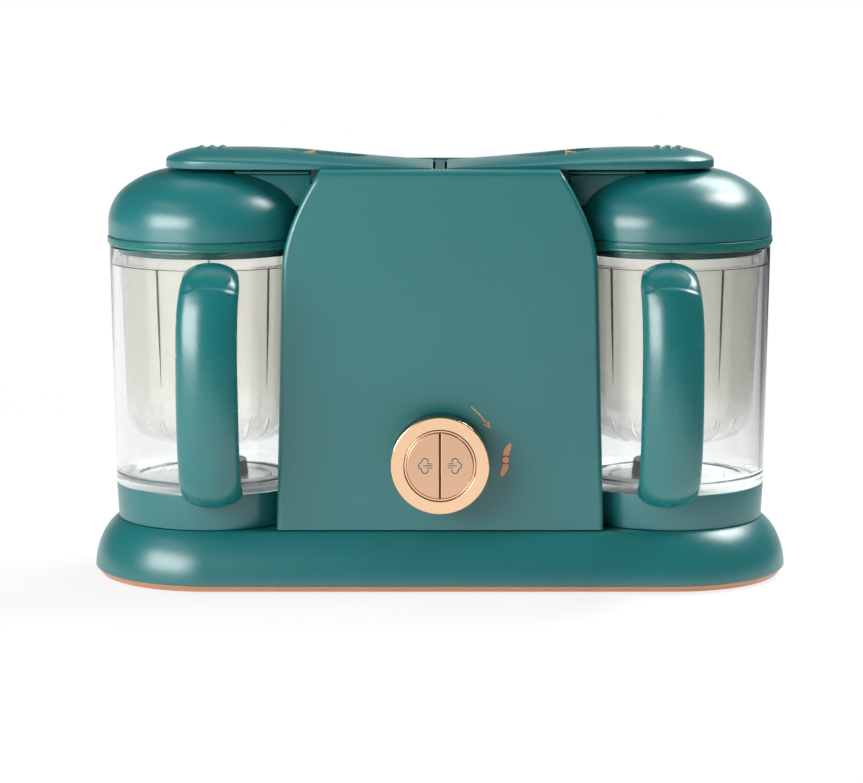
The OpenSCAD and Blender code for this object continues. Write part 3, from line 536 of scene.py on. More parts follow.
RIM_DROP = 10.0
BOWL_WALL = 2.6
MOUTH_R = PLUG_R + 1.9
LEDGE_Z = BASKET_TOP - 2.0
FOOT_THIN, FOOT_FULL = 78.0, 125.0
COLLAR_CLEAR, COLLAR_FULL = LEDGE_Z + 0.4, LEDGE_Z + 0.9
OPEN_SHARE, WALL_SHARE = 0.8, 0.27
thin_out(
    milky,
    (FOOT_THIN * MM, FOOT_FULL * MM, OPEN_SHARE, WALL_SHARE),
    (COLLAR_CLEAR * MM, COLLAR_FULL * MM, 0, OPEN_SHARE),
)
SEAT_R = FOOT_R - 3.4
# (outer foot, crest, inner foot, height) of the rings in the jug's floor
FLOOR_RINGS = ((45.0, 44.0, 42.6, 1.4), (34.0, 32.8, 31.6, 1.2))

skirt_profile = ring_section(
    SEAT_R + 0.6, (FOOT_R - 1, FOOT_R), (SKIRT_Z, SKIRT_TOP), (0.3, 0.5, 0.35, 0.2)
)
floor_rings = []
for outer, middle, inner, height in FLOOR_RINGS:
    floor_rings += [(outer, WELL_Z, 0.5), (middle, WELL_Z + height, 0.6), (inner, WELL_Z, 0.5)]
bowl_profile = filleted(
    [
        (BUSH_R, FLOOR_Z, 0.3), (SEAT_R, FLOOR_Z, 0.6),
        (SEAT_R, SKIRT_TOP + 0.1, 0.2), (FOOT_R - 0.05, SKIRT_TOP + 0.1, 0.15),
        (BOWL_R, RIM_Z - RIM_DROP, 8), (BOWL_R, RIM_Z, 0.8),
        (MOUTH_R, RIM_Z, 0.6), (MOUTH_R, LEDGE_Z, 0.3), (MOUTH_R - 1.2, LEDGE_Z, 0.4),
        (FOOT_R - BOWL_WALL, WELL_Z + 4, 5), (FOOT_R - BOWL_WALL - 4, WELL_Z, 2),
        *floor_rings,
        (BUSH_R + 6, WELL_Z, 1), (BUSH_R + 4, WELL_Z - 1.2, 1), (BUSH_R, WELL_Z - 1.2, 0.3),
    ],
    steps=8,
)

FOOT_ROUND = 18.0
BASKET_FOOT_R = 49.0
BASKET_WALL_R = BOWL_R - 5.7
WALL_FOOT_Z = BASKET_Z + FOOT_ROUND
WALL_H = LEDGE_Z - WALL_FOOT_Z
BASKET_T = 1.5
COLLAR_TOP = PLUG_Z - 0.4
SLOT_COUNT = 24
SLOT_CELLS = 16
SLOT_OPEN = 3
SLOT_LOW, SLOT_HIGH = BASKET_Z + 0.6, BASKET_Z + 15.0


def basket_r(z):
    """Outer radius of the basket's sloping wall at height z."""
    return BASKET_FOOT_R + (BASKET_WALL_R - BASKET_FOOT_R) * (z - WALL_FOOT_Z) / WALL_H


def basket_wall(inset):
    """Outer or inner line of the basket from the middle of its floor up to its collar."""
    floor = [(r, BASKET_Z + inset) for r in (0, 6, 12, 20)]
    foot = arc(BASKET_FOOT_R - FOOT_ROUND, WALL_FOOT_Z, FOOT_ROUND - inset, -90, 0, 30)
    low, high = WALL_FOOT_Z + 0.04 * WALL_H, WALL_FOOT_Z + 0.995 * WALL_H
    rise = sampled(lambda z: (basket_r(z) - inset, z), low, high, 24)
    return floor + foot + rise


RIB_DEPTH = 0.9
RIB_HALF = 0.42
RIB_AZIMUTHS = (30, 102, 174, 246, 318)
RIB_FOOT, RIB_TOP = 114.0, LEDGE_Z - 0.4
RIB_STEPS = 24
# (share of the half width, share of the depth) round a rib's section
RIB_SECTION = ((-1, -0.6), (1, -0.6), (0.8, 0.7), (0.3, 1), (-0.3, 1), (-0.8, 0.7))


def ribs(place):
    """Thin ribs down the outside of the basket, fading towards its foot."""
    parts = []
    for azimuth in RIB_AZIMUTHS:
        a = math.radians(azimuth)
        rings = []
        for i in range(RIB_STEPS + 1):
            share = i / RIB_STEPS
            z = RIB_FOOT + (RIB_TOP - RIB_FOOT) * share
            grown = min(1, 0.15 + 1.6 * share)
            ring = []
            for across, out in RIB_SECTION:
                r, t = basket_r(z) + RIB_DEPTH * out * grown, across * RIB_HALF * grown
                ring.append(place(r * math.sin(a) + t * math.cos(a), t * math.sin(a) - r * math.cos(a), z))
            rings.append(ring)
        parts.append(skin(rings))
    return joined(parts)


def basket(place):
    """The pierced basket: outer and inner skins joined through slots round the foot."""
    columns = SLOT_COUNT * SLOT_CELLS
    outer, inner = basket_wall(0), basket_wall(BASKET_T)
    outer += [(BASKET_WALL_R, LEDGE_Z), (BASKET_RIM_R - 0.2, LEDGE_Z + 0.05), (BASKET_RIM_R, LEDGE_Z + 0.3),
              (BASKET_RIM_R, COLLAR_TOP - 0.2)]
    inner += [(BASKET_WALL_R - BASKET_T, LEDGE_Z + 1), (BASKET_RIM_R - 1.3, LEDGE_Z + 1.6),
              (BASKET_RIM_R - 1.3, LEDGE_Z + 2.2), (BASKET_RIM_R - 1.2, COLLAR_TOP)]
    verts, rows = [], []
    for line in (outer, inner):
        rows.append([])
        for r, z in line:
            row = []
            for k in range(columns):
                a = 2 * math.pi * k / columns
                row.append(len(verts))
                verts.append(place(r * math.cos(a), r * math.sin(a), z))
                if r < 1e-6:
                    row = [row[0]] * columns
                    break
            rows[-1].append(row)
    faces = []

    def is_hole(i, k):
        z = (outer[i][1] + outer[i + 1][1]) / 2
        r = outer[i][0]
        return SLOT_LOW < z < SLOT_HIGH and r > BASKET_FOOT_R - FOOT_ROUND and k % SLOT_CELLS < SLOT_OPEN

    def wall(i, k, j, m):
        """The face that joins both skins between two of their points."""
        faces.append((rows[0][i][k], rows[0][j][m], rows[1][j][m], rows[1][i][k]))

    cells = [(i, k) for i in range(len(outer) - 1) for k in range(columns)]
    holes = {cell for cell in cells if is_hole(*cell)}
    for i, k in cells:
        m = (k + 1) % columns
        if (i, k) not in holes:
            for r in rows:
                faces.append(tuple(dict.fromkeys((r[i][k], r[i][m], r[i + 1][m], r[i + 1][k]))))
            continue
        for neighbour, edge in (
            ((i - 1, k), (i, k, i, m)),
            ((i + 1, k), (i + 1, k, i + 1, m)),
            ((i, (k - 1) % columns), (i, k, i + 1, k)),
            ((i, m), (i, m, i + 1, m)),
        ):
            if neighbour not in holes:
                wall(*edge)
    top = len(outer) - 1
    for k in range(columns):
        wall(top, k, top, (k + 1) % columns)
    return verts, faces


floor_plate_profile = ring_section(
    BUSH_R + 0.4, (SEAT_R - 0.4, SEAT_R - 0.4), (FLOOR_Z - 0.9, FLOOR_Z + 0.15), (0, 0, 0, 0)
)

for name, side in SIDES:
    place = at_bowl(side)
    body = f"{name}_bowl"
    build(f"jug_underside_{name}", *lathe(floor_plate_profile, place, loop=True), pale, body)
    build(f"skirt_{name}", *lathe(skirt_profile, place, loop=True), teal, body, [f"bowl_skirt_{name}"])
    jug = lathe(bowl_profile, place, 192, loop=True)
    build(f"jug_{name}", *jug, glass, body, [f"bowl_{name}"], crease=40)
    build(f"steam_basket_{name}", *basket(place), milky, body, [f"basket_{name}"], crease=40)
    build(f"basket_ribs_{name}", *ribs(place), rib_painted_shade, body)

# ---- lids

CROWN_R = 50.0
BROW_R = 26.0
BROW_TURN = 52
DOME_R = LID_R - 0.6
BROW_C = DOME_R - BROW_R
BROW_Z = DOME_Z - CROWN_R + (CROWN_R - BROW_R) * math.sin(math.radians(BROW_TURN))
CROWN_C = BROW_C + (BROW_R - CROWN_R) * math.cos(math.radians(BROW_TURN))
BAND_TOP = LID_Z + 5.1
LIP_Z = LID_Z + 1.3
LID_WALL = 2.4
DUCT_HALF = 24.0
DUCT_TOP = DOME_Z - 0.4
DUCT_H = 20.0
DUCT_END = BOWL_X - DUCT_X


def dome_line(inset):
    """The dome from its apex down to where its side stands upright."""
    crown = arc(CROWN_C, DOME_Z - CROWN_R, CROWN_R - inset, 90, BROW_TURN, 14)
    brow = arc(BROW_C, BROW_Z, BROW_R - inset, BROW_TURN, 0, 24)
    return [(0, DOME_Z - inset), (CROWN_C / 2, DOME_Z - inset)] + crown + brow[1:]


groove = [
    (DOME_R, BAND_TOP + 0.55), (DOME_R - 0.25, BAND_TOP + 0.2), (DOME_R - 0.7, BAND_TOP + 0.05),
    (DOME_R - 0.7, BAND_TOP - 0.3), (DOME_R - LID_WALL, BAND_TOP - 0.3),
]
dome_profile = dome_line(0) + groove + dome_line(LID_WALL)[::-1]
band_profile = ring_section(
    LID_R - 4, (LID_R, LID_R), (BAND_TOP - 0.35, LIP_Z + 0.1), (0.1, 0.35, 0.4, 0.1)
)
lip_profile = ring_section(
    PLUG_R - 3, (LID_R - 0.9, LID_R - 0.7), (LIP_Z + 0.3, LID_Z), (0.1, 0.2, 0.35, 0.1)
)


def rounded_box(lo, hi, radius, place):
    """A box whose edges along X are rounded, as rings along X, with a softened end at its low X."""
    rings = []
    stations = ((lo[0], 0.6), (lo[0] + radius * 0.2, 0.2), (lo[0] + radius, 0), (hi[0], 0))
    for x, share in stations:
        inset = radius * share
        corners = [
            (lo[1] + inset, lo[2] + inset, radius),
            (hi[1] - inset, lo[2] + inset, radius),
            (hi[1] - inset, hi[2] - inset, radius),
            (lo[1] + inset, hi[2] - inset, radius),
        ]
        rings.append([place(x, y, z) for y, z in filleted(corners, steps=4)])
    return skin(rings)


LEDGE_T, LEDGE_OVER = 1.8, 0.8
DUCT_IN, LEDGE_IN = 22.0, 16.0
duct_low = (-DUCT_END, -DUCT_HALF, DUCT_TOP - DUCT_H)
duct_high = (-DUCT_IN, DUCT_HALF, DUCT_TOP - LEDGE_T)
ledge_low = (-DUCT_END + 0.6, -DUCT_HALF - LEDGE_OVER, DUCT_TOP - LEDGE_T)
ledge_high = (-LEDGE_IN, DUCT_HALF + LEDGE_OVER, DUCT_TOP)
for name, side in SIDES:
    place = at_bowl(side)
    body = f"{name}_arm"
    build(f"dome_{name}", *lathe(dome_profile, place, 192), teal, body, [f"lid_{name}"])
    build(f"lid_band_{name}", *lathe(band_profile, place, 192, loop=True), teal_band, body)
    build(f"lid_lip_{name}", *lathe(lip_profile, place, 192, loop=True), teal_lip, body)
    build(f"steam_duct_{name}", *rounded_box(duct_low, duct_high, 1.2, place), teal, body)
    build(f"duct_ledge_{name}", *rounded_box(ledge_low, ledge_high, 0.6, place), teal, body)

# ---- arms

BAR_RISE = 1.0
BAR_R = 2.4
BAR_HALF = 10.0
BAR_SHARES = (0.120, 0.159, 0.198)
# The bars stand where the crown is this share of its full height.
CREST_AT_BARS = 0.992
ARM_RISE = (ARM_TOP - ARM_Z - BAR_RISE) / CREST_AT_BARS
ARM_INNER = 4.0
END_ROUND = 0.8
INNER_CLEAR, INNER_TUCK = 13.0, 0.026
ARM_END = ARM_OUT - ARM_INNER
# (share of the length from the outer end, share of the full height) along the crown
CREST = [
    (0, 0.52), (0.038, 0.75), (0.108, 0.98), (0.274, 1.0), (0.459, 0.91), (0.637, 0.66), (0.854, 0.34),
    (0.985, 0.09),
]
EDGE_H, EDGE_H_IN = 4.0, 1.0
EDGE_FALL_FROM, EDGE_FALL_LONG = 30.0, 120.0
EDGE_LEAST = 0.46
CORNER_ROUND, CORNER_AHEAD, CORNER_POWER = 26.0, 1.6, 2.4
CROWN_POWER = 0.6
TIP_NARROW, TIP_LONG = 0.2, 70.0
SCOOP_MID = 64.2
SCOOP_LONG = 22.5
SCOOP_WIDE = 18.0
SCOOP_DEEP = 3.3
SCOOP_POWER = 0.55


def crest(s):
    """Height of the crown above the arm's underside at distance s from its outer end."""
    u = s / ARM_OUT
    i = max(k for k in range(len(CREST) - 1) if u >= CREST[k][0] or k == 0)
    (x0, y0), (x1, y1) = CREST[i], CREST[i + 1]
    t = (u - x0) / (x1 - x0)

    def rate(k):
        return (CREST[k + 1][1] - CREST[k][1]) / (CREST[k + 1][0] - CREST[k][0])

    def slope(k):
        if k in (0, len(CREST) - 1):
            return rate(max(0, k - 1))
        before, after = rate(k - 1), rate(k)
        return 0 if before * after <= 0 else 2 * before * after / (before + after)

    h = x1 - x0
    value = (
        (2 * t**3 - 3 * t**2 + 1) * y0
        + (t**3 - 2 * t**2 + t) * h * slope(i)
        + (3 * t**2 - 2 * t**3) * y1
        + (t**3 - t**2) * h * slope(i + 1)
    )
    return ARM_RISE * value


def arm_edge(s):
    """Height of the arm's upright edge."""
    fall = (EDGE_H - EDGE_H_IN) * max(0, s - EDGE_FALL_FROM) / EDGE_FALL_LONG
    return max(EDGE_LEAST, min(crest(s) - 0.4, EDGE_H - fall))


def arm_half(s):
    """Half width of the arm: rounded corners, a narrower tip and clearance beside the tower."""
    corner = bulge(1 - min(1, (s + CORNER_AHEAD) / CORNER_ROUND), CORNER_POWER)
    narrow = TIP_NARROW * max(0, 1 - s / TIP_LONG) ** 2
    if s > ARM_OUT - INNER_CLEAR:
        narrow += INNER_TUCK
    return ARM_W * corner * (1 - narrow)


def scoop(s, y):
    """Depth of the finger scoop at a point on the crown."""
    out = ARM_OUT - s
    rho = math.hypot((out - SCOOP_MID) / SCOOP_LONG, y / SCOOP_WIDE)
    return SCOOP_DEEP * (1 - rho**2) ** SCOOP_POWER if rho < 1 else 0


def crown(s, y):
    """Height of the arm's upper side at a point, with the scoop taken out."""
    edge = arm_edge(s)
    return edge + (crest(s) - edge) * max(0, 1 - (y / arm_half(s)) ** 2) ** CROWN_POWER - scoop(s, y)


def end_drop(s):
    """How far the rounded inner edge falls below the crown."""
    into = max(0, s - (ARM_END - END_ROUND))
    return END_ROUND - math.sqrt(max(0, END_ROUND**2 - into**2))


def bar(s, y):
    """Height of the finger-grip bars above the crown."""
    off = min(abs(s - share * ARM_OUT) for share in BAR_SHARES)
    long = max(0, abs(y) - BAR_HALF + BAR_R)
    return max(0, math.sqrt(max(0, BAR_R**2 - off**2 - long**2)) - BAR_R + BAR_RISE)


ACROSS = 96


def arm_ring(s, side):
    half, edge = arm_half(s), arm_edge(s)
    soft = min(0.7, 0.3 * edge)
    ring = [(-half + 0.5, 0), (-half + 0.15, 0.12), (-half, 0.45), (-half, edge - soft)]
    for i in range(ACROSS + 1):
        y = -half * math.cos(math.pi * i / ACROSS)
        rim = min(1, i / 3, (ACROSS - i) / 3)
        z = crown(s, y) - soft * (1 - rim) ** 2 * 0.5 + bar(s, y) - end_drop(s)
        ring.append((y, max(EDGE_LEAST, z)))
    ring += [(half, edge - soft), (half, 0.45), (half - 0.15, 0.12), (half - 0.5, 0)]
    return [(side * (ARM_OUT - s), y, ARM_Z + z) for y, z in ring]


# Distances from the arm's outer end at which it has a ring: close at the tip, the bars and the inner edge.
FINE_FROM, FINE_TO, FINE_STEP = 17.0, 38.0, 0.25
stations = [0, 0.25, 0.6, 1.1, 1.8, 2.6, 3.6, 4.8, 6.2, 8, 10, 12.5, 15]
stations += [FINE_FROM + FINE_STEP * i for i in range(round((FINE_TO - FINE_FROM) / FINE_STEP))]
stations += sampled(lambda s: s, FINE_TO, ARM_END - END_ROUND - 1, 150)
stations += [s for s, _ in reversed(arc(ARM_END - END_ROUND, 0, END_ROUND, 0, 90, 6))]
WEDGE = ((80.5, 0), (71.4, -5.4), (71.4, 5.4))
WEDGE_T = 2.6
SHADE_SKIN_SHARE = 0.975
SHADE_SKIN_STEPS = 24
SHADE_SKIN_SUNK, SHADE_SKIN_PROUD = -0.3, 0.06


def scoop_shade_skin(side):
    """Painted shade: a thin dark skin over the floor and walls of the finger scoop, standing in for the
    shade in its hollow.
    """
    outwards = [SHADE_SKIN_SHARE * i / SHADE_SKIN_STEPS for i in range(1, SHADE_SKIN_STEPS + 1)]
    levels = [(rho, SHADE_SKIN_SUNK) for rho in outwards] + [(rho, SHADE_SKIN_PROUD) for rho in reversed(outwards)]
    rings = []
    for rho, thick in levels:
        ring = []
        for x, y in arc(0, 0, rho, 0, 360, ACROSS)[:-1]:
            out, y = SCOOP_MID - x * SCOOP_LONG, y * SCOOP_WIDE
            ring.append((side * out, y, ARM_Z + crown(ARM_OUT - out, y) + thick))
        rings.append(ring)
    return skin(rings)


for name, side in SIDES:
    body = f"{name}_arm"
    rings = [arm_ring(s, side) for s in stations]
    build(f"locking_arm_{name}", *skin(rings), teal, body, [f"arm_{name}"], crease=38)
    build(f"scoop_shade_skin_{name}", *scoop_shade_skin(side), teal_scoop_shade, body)
    lower, upper = [], []
    for out, y in filleted([(x, y, 0.8) for x, y in WEDGE]):
        s = ARM_OUT - out
        floor = crest(s) - scoop(s, y)
        lower.append((side * out, y, ARM_Z + floor - 0.4))
        rise = WEDGE_T * (WEDGE[0][0] - out) / (WEDGE[0][0] - WEDGE[1][0])
        upper.append((side * out, y, ARM_Z + floor + 0.1 + rise))
    build(f"copper_wedge_{name}", *skin([lower, upper]), copper_ink, body, [f"arm_marker_{name}"])

# ---- handles

HANDLE_TURN = 2.7
HANDLE_POINTS = 72
HANDLE_RINGS = 300
GRIP_W = (HANDLE_HI[0] - HANDLE_LO[0]) / 2 - 0.35
HANDLE_REACH = -HANDLE_LO[1] - FOOT_R + 1
# (share of the reach, height below the rim, half width share, half thickness, bow towards the middle)
HANDLE_PATH = [
    (0.00, 13.0, 0.86, 7.5, 1.5),
    (0.20, 11.7, 0.88, 7.5, 2.0),
    (0.41, 12.9, 0.92, 7.6, 2.0),
    (0.58, 17.4, 0.96, 7.9, 1.6),
    (0.66, 26.5, 0.98, 8.6, 0.6),
    (0.715, 38.0, 0.99, 8.8, 0),
    (0.77, 55.0, 0.99, 9.0, -0.2),
    (0.80, 80.0, 1.0, 9.0, -0.1),
    (0.78, 104.0, 1.0, 8.8, 0.2),
    (0.68, 121.0, 1.0, 8.4, 0.8),
    (0.48, 130.0, 1.0, 8.0, 1.5),
    (0.25, 133.5, 0.98, 7.8, 1.8),
    (0.00, 134.0, 0.95, 7.8, 1.8),
]
HANDLE_ROOT = FOOT_R - 2.5
SECTION_POWER = 2.08
GRIP_CROWN = 0.10
PAD_AT = 2.72
PAD_LONG, PAD_WIDE = 0.72, 0.70
PAD_DEEP = 1.0
CREASE_DEEP = 1.3
CREASE_Z, CREASE_ARCH = 174.6, 4.4
CREASE_SOFT = 1.1


def handle_point(t):
    """Centre as (depth, height), half width, half thickness and bow at point t of the path."""
    reach, drop, width, thick, bow = spline(HANDLE_PATH, t)
    return Vector((-HANDLE_ROOT - reach * HANDLE_REACH, RIM_Z - drop)), width * GRIP_W, thick, bow


def rounded(value, size):
    """A sine or cosine bent from a circle's towards a squarer section's."""
    return math.copysign(abs(value) ** (2 / SECTION_POWER), value) * size


def handle(side):
    """The grip as sections along its path, with a thumb pad and a crease near its top."""
    last = len(HANDLE_PATH) - 1
    spin = math.radians(HANDLE_TURN)
    rings = []
    for k in range(HANDLE_RINGS + 1):
        t = last * k / HANDLE_RINGS
        centre, width, thick, bow = handle_point(t)
        ahead = handle_point(min(last, t + 0.02))[0] - handle_point(max(0, t - 0.02))[0]
        ahead.normalize()
        outward = Vector((ahead.y, -ahead.x))
        if outward.x > 0 and t > 2:
            outward = -outward
        ring = []
        for j in range(HANDLE_POINTS):
            a = 2 * math.pi * j / HANDLE_POINTS
            c, s = math.cos(a), math.sin(a)
            x, q = rounded(c, width), rounded(s, thick)
            if s > 0:
                dish = math.hypot((t - PAD_AT) / PAD_LONG, x / (width * PAD_WIDE))
                q *= 1 + GRIP_CROWN * (1 - (x / width) ** 2)
                if dish < 1:
                    q -= PAD_DEEP * (1 - dish**2) ** 0.6
                if t < last / 2:
                    above = (centre + outward * q).y - CREASE_Z + CREASE_ARCH * (x / width) ** 2
                    q -= CREASE_DEEP * s**0.5 * min(1, max(0, above / CREASE_SOFT)) ** 0.5
            p = centre + outward * q
            px = -side * bow + x * math.cos(spin) + side * p.x * math.sin(spin)
            py = p.x * math.cos(spin) - side * x * math.sin(spin)
            ring.append((side * BOWL_X + px, py, p.y))
        rings.append(ring)
    return skin(rings)


for name, side in SIDES:
    build(f"grip_{name}", *handle(side), teal_gloss, f"{name}_bowl", [f"handle_{name}"], crease=60)

# ---- knob and buttons

RING_OUT = PANEL_Y - RING_LO[1]
HUB_OUT = PANEL_Y - HUB_LO[1]
HUB_R = HUB_HI[0]
BUTTON_OUT = PANEL_Y - BUTTON_LO[1]
BUTTON_R = BUTTON_HI[0]
BEZEL_OUT = PANEL_Y - box_mm("knob_bezel")[0][1]
BEZEL_R = KNOB_R - 0.3
RING_IN = HUB_R + 0.2
RING_BACK = BEZEL_OUT + 0.3
HUB_BACK = 12.0
BEZEL_IN = CAM_WINDOW_R - 2

ring_profile = ring_section(
    RING_IN, (KNOB_R - 0.2, KNOB_R), (RING_BACK, RING_OUT), (0.2, 0.4, 0.9, 0.45), steps=6
)
hub_profile = ring_section(BUTTON_R + 0.12, (HUB_R, HUB_R), (HUB_BACK, HUB_OUT), (0.1, 0.1, 0.35, 0.35))
bezel_profile = ring_section(BEZEL_IN, (BEZEL_R, BEZEL_R), (0, BEZEL_OUT), (0.1, 0.1, 0.8, 0.2))

# Painted shade: the rim's side, which faces across the panel, takes a darker copy of the rose metal than its
# front, standing in for the dark reflection it shows there.
PAINTED_SHADE_FACING = 0.3
ring = lathe(ring_profile, at_knob, 192, loop=True)
rim = build("knob_rim", *ring, rose, "knob", ["knob_ring"], crease=40, weighted=True)
rim.data.materials.append(rose_painted_shade.material)
for face in rim.data.polygons:
    if abs(face.normal.y) < PAINTED_SHADE_FACING:
        face.material_index = 1
build("knob_collar", *lathe(hub_profile, at_knob, loop=True), rose, "base", ["knob_hub"])
build("knob_surround", *lathe(bezel_profile, at_knob, loop=True), rose, "base", ["knob_bezel"])

BUTTON_T = 5.7
BUTTON_SOFT = 0.5
SPLIT = 0.4
STEM_X, STEM_R, STEM_BACK = 9.0, 1.5, -10.6


def half_moon(side):
    """A half-disc cap with softened front edges."""
    rings = []
    levels = [(BUTTON_OUT - BUTTON_T, 0)]
    levels += [(BUTTON_OUT - BUTTON_SOFT + h, BUTTON_SOFT - d) for d, h in arc(0, 0, BUTTON_SOFT, 0, 90, 4)]
    for z, inset in levels:
        r = BUTTON_R - inset
        edge = SPLIT + inset
        a = math.degrees(math.acos(edge / r))
        rings.append([at_knob(side * x, y, z) for x, y in arc(0, 0, r, -a, a, 60)])
    return skin(rings)


def ribbon(points, width, height, place, closed=False):
    """A flat printed line of the given width that stands proud by height."""
    left, right = [], []
    n = len(points)
    for i in range(n):
        a = Vector(points[i - 1 if (i or closed) else 0])
        b = Vector(points[(i + 1) % n if (i < n - 1 or closed) else n - 1])
        normal = (b - a).normalized().orthogonal() * (width / 2)
        left.append(Vector(points[i]) + normal)
        right.append(Vector(points[i]) - normal)
    rings = [[place(*l, 0), place(*r, 0), place(*r, height), place(*l, height)] for l, r in zip(left, right)]
    return skin(rings, closed=closed)


INK_H = 0.1
BUTTON_INK_H = 0.12
PUFF_LINE = 0.6
ICON_X = 8.7
# (start, end, height at the start, height at the end) of the three jets
JETS = ((-1.2, -4.0, 1.3, 1.2), (0.6, -4.6, 0.1, 0.1), (-1.2, -4.3, -1.1, -1.15))


def steam_puff(side):
    """A generic puff of steam: three lobes, open towards the middle, and three short jets."""

    def place(x, y, z):
        return at_knob(side * (ICON_X + x), y, BUTTON_OUT - 0.05 + z)

    lobes = (
        arc(-0.35, 2.4, 1.8, 188, -10, 16),
        arc(1.2, 0, 1.95, 76, -76, 12),
        arc(-0.35, -2.4, 1.8, 10, -188, 16),
    )
    path = [point for lobe in lobes for point in lobe]
    parts = [ribbon(path, PUFF_LINE, BUTTON_INK_H, place)]
    for start, end, y0, y1 in JETS:
        parts.append(ribbon([(start, y0), (end, y1)], PUFF_LINE * 0.8, BUTTON_INK_H, place))
    return joined(parts)


for name, side in SIDES:
    body = f"{name}_button"
    stem = lathe(
        [(0, STEM_BACK), (STEM_R, STEM_BACK), (STEM_R, BUTTON_OUT - 2), (0, BUTTON_OUT - 2)],
        lambda x, y, z: at_knob(side * STEM_X + x, y, z), 24,
    )
    build(f"cap_{name}", *half_moon(side), rose_satin, body, [f"button_{name}"], crease=40, weighted=True)
    build(f"stem_{name}", *stem, dark_plastic, body)
    build(f"steam_sign_{name}", *steam_puff(side), grey_ink, body)

# ---- printed signs on the panel


def on_panel(x, y, z):
    """Local coordinates round the knob's axis, just sunk into the panel's face."""
    return at_knob(x, y, z - 0.04)


ARROW_START, ARROW_END = (17.5, 29.8), (26.6, 19.6)
ARROW_BOW = 0.55
ARROW_TIP, ARROW_WING = (28.4, 17.6), 1.75
ARROW_LINE, ARROW_HEAD = 0.65, 4.2
ARROW_STEPS = 20


def arrow():
    """A bowed arrow that shows which way the knob turns."""
    start, end = Vector(ARROW_START), Vector(ARROW_END)
    across = (end - start).normalized().orthogonal()
    if across.x < 0:
        across = -across
    shaft = sampled(lambda t: start.lerp(end, t) + across * ARROW_BOW * 4 * t * (1 - t), 0, 1, ARROW_STEPS)
    tip = Vector(ARROW_TIP)
    along = (tip - shaft[-3]).normalized()
    wing = along.orthogonal() * ARROW_WING
    base = tip - along * ARROW_HEAD
    head = [tip, base + wing, base - wing]
    rings = [[on_panel(p.x, p.y, z) for p in head] for z in (0, INK_H)]
    return joined([ribbon(shaft, ARROW_LINE, INK_H, on_panel), skin(rings)])


BLADE_SIGN = (36.9, -0.2)
DISC_R, DISC_RING_R, DISC_LINE = 2.0, 2.2, 0.4
WING = [
    (-1.75, 2.75), (-1.6, 4.1), (-1.0, 5.7), (-0.1, 7.2), (1.0, 8.6), (2.1, 9.5), (2.75, 9.4),
    (3.0, 8.5), (2.85, 7.2), (2.45, 5.6), (2.0, 4.2), (1.75, 2.75), (1.0, 2.35), (0.0, 2.2), (-1.0, 2.35),
]


def blade_sign():
    """Two blade wings and a disc between them."""
    parts = []
    for flip in (1, -1):
        outline = [(BLADE_SIGN[0] + flip * x, BLADE_SIGN[1] + flip * y) for x, y in WING]
        parts.append(skin([[on_panel(x, y, z) for x, y in outline] for z in (0, INK_H)]))
    disc = arc(*BLADE_SIGN, DISC_R, 0, 360, 32)[:-1]
    parts.append(skin([[on_panel(x, y, z) for x, y in disc] for z in (0, INK_H)]))
    return joined(parts)


build("turn_arrow_sign", *arrow(), copper_ink, "base")
build("blade_sign", *blade_sign(), copper_ink, "base")
disc_ring = arc(*BLADE_SIGN, DISC_RING_R, 0, 360, 48)[:-1]
build("blade_sign_ring", *ribbon(disc_ring, DISC_LINE, INK_H * 1.4, on_panel, closed=True), dark_ink, "base")

# ---- CAD nodes that stay as they are

SHARP_NODES = ("rear_cover",)


def both(*names):
    """The left and right node of each name."""
    return [f"{name}_{side}" for name in names for side, _ in SIDES]


KEPT = (
    (teal, ["rear_cover"]),
    # Painted shade: the tower body, hinge block and arm underplates take the darker teal because they sit in
    # shade.
    (teal_painted_shade, ["tower_body", "hinge_block", *both("arm_underplate")]),
    (steel, ["housing_screws", "hinge_pins", "motor_mount", "motor_can", "motor_shaft", "drive_bearings"]),
    (steel, ["boiler_shelf", "button_springs", *both("boiler", "drive_shaft", "blade", "bowl_bush")]),
    (dark_plastic, ["motor_pulley", "drive_belts", "boiler_heaters", "steam_switches", "blend_switch"]),
    (dark_plastic, ["cord_gland", *both("drive_pulley", "blade_hub")]),
    (rubber, ["rubber_feet", "steam_ports", *both("tank_seal")]),
    (silicone, both("lid_seal")),
    (board, ["control_board"]),
)

for surface, nodes in KEPT:
    for node in nodes:
        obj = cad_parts[node]
        for slot in obj.material_slots:
            slot.material = surface.material
        weld = obj.modifiers.new("weld", "WELD")
        weld.merge_threshold = 0.01 * MM
        if node in SHARP_NODES:
            continue
        bevel = obj.modifiers.new("soft edges", "BEVEL")
        bevel.width = 0.35 * MM
        bevel.segments = 2
        bevel.limit_method = "ANGLE"
        bevel.angle_limit = math.radians(40)
        bevel.use_clamp_overlap = True

# ---- studio

SHADOW_SHARE = 0.2
SHADOW_NEAR, SHADOW_FAR = 0.25, 0.8
FLAG_SHARE = 0.12
FLAG_NEAR, FLAG_FAR = 0.22, 0.6

ground = Surface("studio_white", Roughness=0.8)
ground.colours(ground.noise(3, 2), (251, 251, 251), (252, 252, 252))
ground.rough(ground.noise(40, 3), 0.75, 0.85)
ground.bump(ground.noise(300, 2), 0.02 * MM)
seen = light_path(ground.tree, "Is Camera Ray", "Is Glossy Ray", "Is Transmission Ray")
place, split = coordinates(ground.tree)
reach = ground.nodes.new("ShaderNodeVectorMath")
reach.operation = "LENGTH"
ground.links.new(place, reach.inputs[0])
clean = map_range(ground.tree, reach.outputs["Value"], SHADOW_NEAR, SHADOW_FAR, 1 - SHADOW_SHARE, 1)
